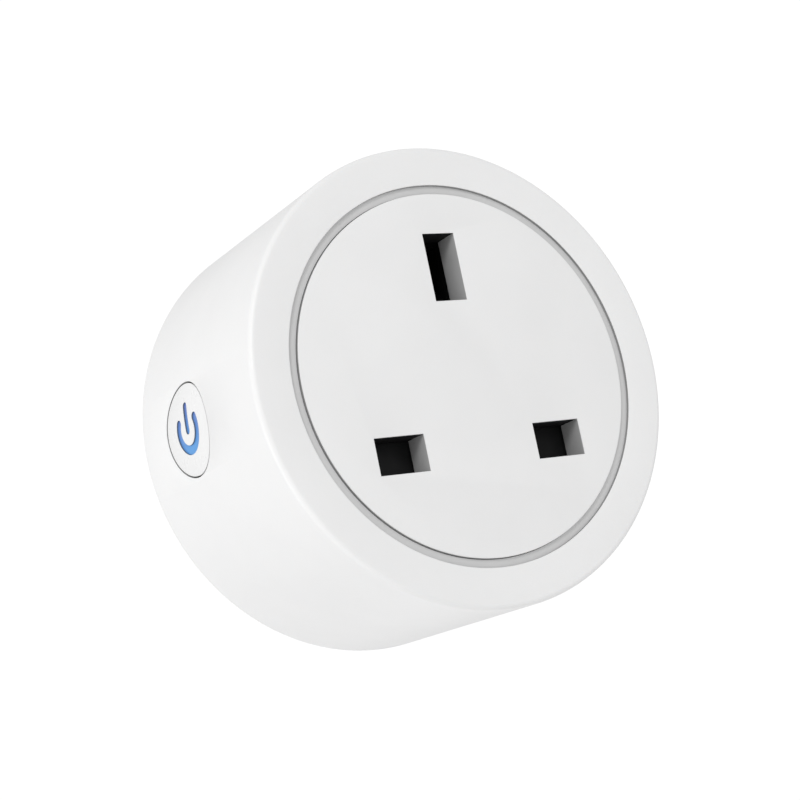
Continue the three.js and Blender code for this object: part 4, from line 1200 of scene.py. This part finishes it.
@dataclass
class SideButton:
    """The power button's cap and the light guide that shows through it."""

    places: Places
    sides: int = 512
    radius_mm: float = 5.57
    edge_mm: float = 0.1
    skin_mm: float = 1.4
    side_mm: float = 1.2
    lip_mm: float = 1.0
    proud_mm: float = -0.05
    symbol_radius_mm: float = 2.43
    symbol_width_mm: float = 1.12
    open_degrees: float = 63.0
    bar_width_mm: float = 0.96
    bar_mm: tuple[float, float] = (-0.53, 3.35)
    symbol_shift_mm: float = -0.1
    sunk_mm: float = 0.22
    gap_mm: float = 0.02
    seat_mm: float = 0.15
    disc_mm: float = 1.0
    stem_radius_mm: float = 1.7
    weld_mm: float = 0.2
    lamp_drop_mm: float = 2.6

    @property
    def y(self) -> float:
        """The Y of the button's axis."""
        return self.places.centre("power_button").y

    def build(self) -> list[Piece]:
        """Makes the cap, then the guide."""
        return [self.cap(), self.guide()]

    def bar_along_x(self, name: str, radius: float, start: float, end: float, sides: int) -> Piece:
        """Adds a round bar on the button's axis, from one X to another."""
        return rod(name, radius, (start, self.y, 0), (end, self.y, 0), sides)

    def body_core(self, sunk: float) -> Piece:
        """Makes the body's round outline as a tool, sunk by a depth in metres."""
        ends = (0, self.places.front, 0), (0, 0, 0)
        return rod("core_tool", self.places.radius - sunk, *ends, self.sides)

    def cap(self) -> Piece:
        """Makes the cap: a cup flush with the round body, a lip inside, the symbol cut through."""
        low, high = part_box("power_button")
        y, outer, past = self.y, self.places.radius, self.places.past
        radius, inner = mm(self.radius_mm), mm(self.radius_mm - self.side_mm)
        cap = self.bar_along_x("button_cap", radius, -outer - past, high.x, 128)
        combine(cap, [self.body_core(-mm(self.proud_mm))], Combine.KEEP)
        crown = outer + mm(self.proud_mm)
        round_edges(cap, mm(self.edge_mm), 3, lambda *p: on_bore_edge(p, y, radius, crown))
        lip_start = high.x - mm(self.lip_mm)
        lip = self.bar_along_x("lip", (high.z - low.z) / 2, lip_start, high.x, 96)
        combine(cap, [lip], Combine.JOIN)
        roof = mm(self.skin_mm) - outer
        hollow = self.bar_along_x("hollow_tool", inner, roof, high.x + past, 96)
        symbol = self.symbol(mm(self.gap_mm), -outer - past, roof + past)
        combine(cap, [hollow, *symbol], Combine.CUT)
        finish(cap, Palette.button.build())

        def on_side(middle: Vector, normal: Vector) -> bool:
            """Picks the walls of the symbol's pockets, for painted shade and the guide's painted
            blue cast.
            """
            inside = math.hypot(middle.y - y, middle.z) < inner
            return abs(normal.x) < 0.5 and middle.x < roof and inside

        second_finish(cap, Palette.pocket.build(), on_side)
        return hand_over(cap, "power_button")

    def symbol(self, grow: float, start: float, end: float) -> list[Piece]:
        """Makes the bar and the open ring of the power symbol.

        Args:
            grow: How much wider than nominal each stroke is on each side.
            start: The X where they start.
            end: The X where they end.

        Returns:
            The bar, then the ring.
        """
        y = self.y + mm(self.symbol_shift_mm)
        half = mm(self.bar_width_mm) / 2 + grow
        low, high = (mm(v) for v in self.bar_mm)
        bar = block("bar", (start, y - half, low - grow), (end, y + half, high + grow))
        # Just under half the width, so that the round ends keep a hair of flat between them.
        round_edges(bar, half * 0.999, 12, lambda a, b: abs(a.x - b.x) > mm(0.5))
        return [bar, self.ring(grow, start, end, y)]

    def ring(self, grow: float, start: float, end: float, y: float) -> Piece:
        """Makes the open ring by spinning its section, then rounds its ends."""
        half = mm(self.symbol_width_mm) / 2 + grow
        radius, turn = mm(self.symbol_radius_mm), math.radians(self.open_degrees)
        ring = sheet("ring", ((start + end) / 2, y, radius), end - start, 2 * half)
        sweep = 2 * (math.pi - turn)
        with editing(ring):
            bpy.ops.transform.rotate(value=turn, orient_axis="X", center_override=(0, y, 0))
            bpy.ops.mesh.spin(steps=72, angle=sweep, center=(0, y, 0), axis=(1, 0, 0))
            merge(JOIN_MM)
        across, up = radius * math.sin(turn), radius * math.cos(turn)
        spots = [(y + side.value * across, up) for side in Side]
        ends = [rod("end", half, (start, *spot), (end, *spot), 48) for spot in spots]
        return combine(ring, ends, Combine.JOIN)

    def guide(self) -> Piece:
        """Makes the light guide: the symbol standing on a disc, with a stem to the switch."""
        low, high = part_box("button_light_guide")
        outer, disc = self.places.radius, mm(self.disc_mm)
        front = mm(self.skin_mm + self.seat_mm) - outer
        guide = self.bar_along_x("light_guide", (high.z - low.z) / 2, front, front + disc, 96)
        stem = self.bar_along_x("stem", mm(self.stem_radius_mm), front + disc / 2, high.x, 48)
        strokes = self.symbol(0.0, -outer - self.places.past, front + mm(self.weld_mm))
        for stroke in strokes:
            combine(stroke, [self.body_core(mm(self.sunk_mm))], Combine.KEEP)
        combine(guide, [stem, *strokes], Combine.JOIN)
        # The guide is painted as if lit by the LED: it emits, and is lighter and bluer near the
        # LED's point.
        lamp = (-outer, self.places.centre("status_led").y, -mm(self.lamp_drop_mm))
        finish(guide, PaintedGlowPolycarbonate("polycarbonate_blue_painted_glow", "559bdd", lamp=lamp).build())
        return hand_over(guide, "button_light_guide")


@dataclass
class ShutterGear:
    """The safety shutter and the spring that closes it."""

    places: Places
    edge_mm: float = 0.15
    blade_front_mm: float = 3.9
    blade_mm: float = 1.8
    pole_mm: float = 11.1
    slot_half_mm: float = 2.2
    window_mm: tuple[float, float] = (4.7, 9.7)
    window_half_mm: float = 3.65
    top_mm: float = 2.2
    stem_half_mm: float = 4.5
    stem_past_mm: float = 0.6
    tab_mm: tuple[float, float] = (1.7, 1.2)
    wedge_half_mm: float = 2.9
    wedge_fit_mm: float = 0.3
    wire_mm: float = 0.2
    coil_mm: float = 1.3
    turns: int = 6
    steps_per_turn: int = 36
    travel_mm: float = 5.0

    def build(self) -> list[Piece]:
        """Makes the shutter, then its spring."""
        return [self.shutter(), self.spring()]

    def shutter(self) -> Piece:
        """Makes the shutter: a blade with two windows, a stem, a spring tab and the wedge."""
        low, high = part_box("safety_shutter")
        front = self.places.front + mm(self.blade_front_mm)
        back = front + mm(self.blade_mm)
        slot_low = self.places.centre("live_pin").z - mm(self.slot_half_mm)
        bottom, top = (slot_low + mm(v) for v in self.window_mm)
        stem_x, (tab_x, tab_z) = mm(self.stem_half_mm), (mm(v) for v in self.tab_mm)
        stem_top = high.z - 2 * mm(self.travel_mm) + mm(self.stem_past_mm)
        corner = (high.x, back, top + mm(self.top_mm))
        blade = block("shutter_blade", (low.x, front, low.z), corner)
        stem = block("stem", (-stem_x, front, bottom), (stem_x, back, stem_top))
        tab = block("tab", (-tab_x, low.y, low.z), (tab_x, back, low.z + tab_z))
        combine(blade, [stem, tab, self.wedge(front, high)], Combine.JOIN)
        past, half = self.places.past, mm(self.window_half_mm)
        poles = [side.value * mm(self.pole_mm) for side in Side]
        windows = [
            block("window_tool", (x - half, front - past, bottom), (x + half, back + past, top))
            for x in poles
        ]
        combine(blade, windows, Combine.CUT)
        only(blade)
        rounding = blade.modifiers.new("rounding", "BEVEL")
        rounding.width = mm(self.edge_mm)
        rounding.segments = 2
        rounding.limit_method = "ANGLE"
        bpy.ops.object.modifier_apply(modifier=rounding.name)
        finish(blade, Palette.shutter.build())
        return hand_over(blade, "safety_shutter")

    def wedge(self, front: float, high: Vector) -> Piece:
        """Makes the wedge that an earth pin pushes: a block with its front top edge sloped."""
        travel, half = mm(self.travel_mm), mm(self.wedge_half_mm)
        low_z = high.z - 2 * travel + mm(self.wedge_fit_mm)
        wedge = block("wedge", (-half, front, low_z), (half, high.y, high.z))
        with editing(wedge):
            bpy.ops.mesh.bisect(
                plane_co=(0, front, high.z - travel),
                plane_no=(0, -1, 1),
                clear_outer=True,
                use_fill=True,
            )
        return wedge

    def spring(self) -> Piece:
        """Makes the coil by screwing a round section up the Z axis."""
        low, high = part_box("shutter_spring")
        centre, height, wire = (low + high) / 2, high.z - low.z, mm(self.wire_mm)
        across = {"location": (mm(self.coil_mm), 0, 0), "rotation": (math.pi / 2, 0, 0)}
        bpy.ops.object.select_all(action="DESELECT")
        bpy.ops.mesh.primitive_circle_add(vertices=12, radius=wire, **across)
        spring = added("closing_spring")
        coil = spring.modifiers.new("coil", "SCREW")
        coil.axis = "Z"
        coil.angle = 2 * math.pi
        coil.iterations = self.turns
        coil.steps = coil.render_steps = self.steps_per_turn
        coil.screw_offset = (height - 2 * wire) / self.turns
        coil.use_merge_vertices = False
        bpy.ops.object.modifier_apply(modifier=coil.name)
        with editing(spring, everything=False):
            bpy.ops.mesh.select_mode(type="EDGE")
            bpy.ops.mesh.select_non_manifold(extend=False)
            bpy.ops.mesh.edge_face_add()
            bpy.ops.mesh.select_mode(type="VERT")
        spring.location = (centre.x, centre.y, low.z + wire)
        freeze(spring)
        finish(spring, Palette.spring.build())
        hand_over(spring, "shutter_spring")
        keep = 1 - mm(self.travel_mm) / height
        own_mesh(spring)
        return spring


@dataclass
class Interior:
    """The frame's own pieces inside the body, each dressed in its real material."""

    dressed: tuple[tuple[Finish, tuple[str, ...]], ...] = (
        (Palette.carrier, ("contact_carrier",)),
        (Palette.bobbin, ("relay_bobbin",)),
        (Palette.steel, ("carrier_screw_1", "carrier_screw_2")),
        (Palette.contact, ("live_contact", "neutral_contact", "earth_contact")),
        (Palette.contact, ("switched_live_bar", "neutral_bar", "earth_bar")),
        (Palette.contact, ("relay_fixed_contact",)),
        (Palette.epoxy, ("tact_switch_body", "board_header", "relay_base")),
        (Palette.epoxy, ("bridge_rectifier", "regulator_chip")),
        (Palette.button, ("tact_switch_plunger",)),
        (Palette.main_board, ("main_board",)),
        (Palette.small_board, ("control_board", "wifi_module")),
        (Palette.tinplate, ("wifi_shield",)),
        (Palette.lamp, ("status_led",)),
        (Palette.can_sleeve, ("filter_capacitor", "output_capacitor")),
        (Palette.ferrite, ("inductor_core",)),
        (Palette.copper, ("inductor_winding", "relay_winding")),
        (Palette.dipped, ("varistor",)),
        (Palette.cement, ("fuse_resistor",)),
        (Palette.film_box, ("x_capacitor",)),
        (Palette.relay, ("relay_case",)),
        (Palette.iron, ("relay_yoke", "relay_core", "relay_armature")),
    )

    def build(self) -> list[Piece]:
        """Gives each of the frame's own nodes its finish, and returns them."""
        made = []
        for look, names in self.dressed:
            for name in names:
                node = frame["nodes"][name]
                node.data.materials.clear()
                node.data.materials.append(look.build())
                made.append(node)
        return made


# ---------------------------------------------------------------- studio


@dataclass(frozen=True)
class Softbox:
    """A square lamp that faces the plug: its place and side in metres, its power in watts."""

    name: str
    place: tuple[float, float, float]
    size: float
    power: float

    def hang(self) -> None:
        """Adds the lamp to the scene."""
        data = bpy.data.lights.new(self.name, "AREA")
        data.size = self.size
        data.energy = self.power
        lamp = bpy.data.objects.new(self.name, data)
        lamp.location = self.place
        lamp.rotation_euler = Vector(self.place).to_track_quat("Z", "Y").to_euler()
        bpy.context.collection.objects.link(lamp)


@dataclass
class Studio:
    """The pale floor, the soft light and the camera."""

    camera_at: tuple[float, float, float] = (-0.12574, -0.21557, -0.04283)
    camera_ahead: tuple[float, float, float] = (0.5252, 0.8312, 0.1823)
    camera_up: tuple[float, float, float] = (0.0737, -0.2579, 0.9634)
    lens_mm: float = 86.03
    sensor_mm: float = 36.0
    clip: tuple[float, float] = (0.01, 20.0)
    floor_z: float = -0.3
    floor_half: float = 0.6
    backdrop: float = 1.05
    ambient: float = 0.68
    lamps: tuple[Softbox, ...] = (
        Softbox("key_softbox", (-0.7, -0.7, 0.55), 0.35, 3.1),
        Softbox("side_softbox", (-0.7, 0.1, -0.18), 0.3, 1.15),
        Softbox("front_softbox", (0.25, -1.0, 0.15), 0.6, 0.75),
        Softbox("low_softbox", (0.1, 0.15, -0.28), 0.2, 0.12),
    )

    def build(self) -> None:
        """Sets the whole studio up."""
        self.camera()
        self.floor()
        self.sky()
        for lamp in self.lamps:
            lamp.hang()

    def camera(self) -> None:
        """Makes the camera from its place and its ahead and up directions."""
        data = bpy.data.cameras.new("camera")
        data.lens = self.lens_mm
        data.sensor_width = self.sensor_mm
        data.clip_start, data.clip_end = self.clip
        camera = bpy.data.objects.new("camera", data)
        bpy.context.collection.objects.link(camera)
        back = -Vector(self.camera_ahead).normalized()
        right = Vector(self.camera_up).cross(back).normalized()
        turn = Matrix((right, back.cross(right), back)).transposed().to_4x4()
        camera.matrix_world = Matrix.Translation(self.camera_at) @ turn
        bpy.context.scene.camera = camera

    def floor(self) -> None:
        """Lays the floor well below the plug, which stands free as if plugged in."""
        bpy.ops.object.select_all(action="DESELECT")
        bpy.ops.mesh.primitive_plane_add(size=2 * self.floor_half, location=(0, 0, self.floor_z))
        floor = bpy.context.object
        floor.name = "studio_floor"
        floor.data.materials.append(Palette.paper.build())

    def sky(self) -> None:
        """Makes an even white surround, with its own strength where the lens sees it."""
        world = bpy.data.worlds.new("studio")
        bpy.context.scene.world = world
        world.use_nodes = True
        tree = world.node_tree
        tree.nodes.clear()
        white = linear("ffffff")
        seen = add_node(tree, "Background", {"Color": white, "Strength": self.backdrop})
        light = add_node(tree, "Background", {"Color": white, "Strength": self.ambient})
        path = add_node(tree, "LightPath").outputs["Is Camera Ray"]
        either = add_node(tree, "MixShader", {0: path, 1: light.outputs[0], 2: seen.outputs[0]})
        add_node(tree, "OutputWorld", {"Surface": either.outputs[0]})
        bpy.context.scene.view_settings.view_transform = "Standard"


def main() -> None:
    """Builds the studio, then each sub-assembly in turn, and reports every piece."""
    logging.basicConfig(level=logging.INFO, format="%(message)s")
    Studio().build()
    places = Places()
    kinds = (Enclosure, RearCover, CoverScrews, WallPins, SideButton, ShutterGear)
    for assembly in [*(kind(places) for kind in kinds), Interior()]:
        for piece in assembly.build():
            faces = len(piece.data.polygons)
            log.info("%s: %s, %d faces", type(assembly).__name__, piece.name, faces)


if __name__ == "__main__":
    main()
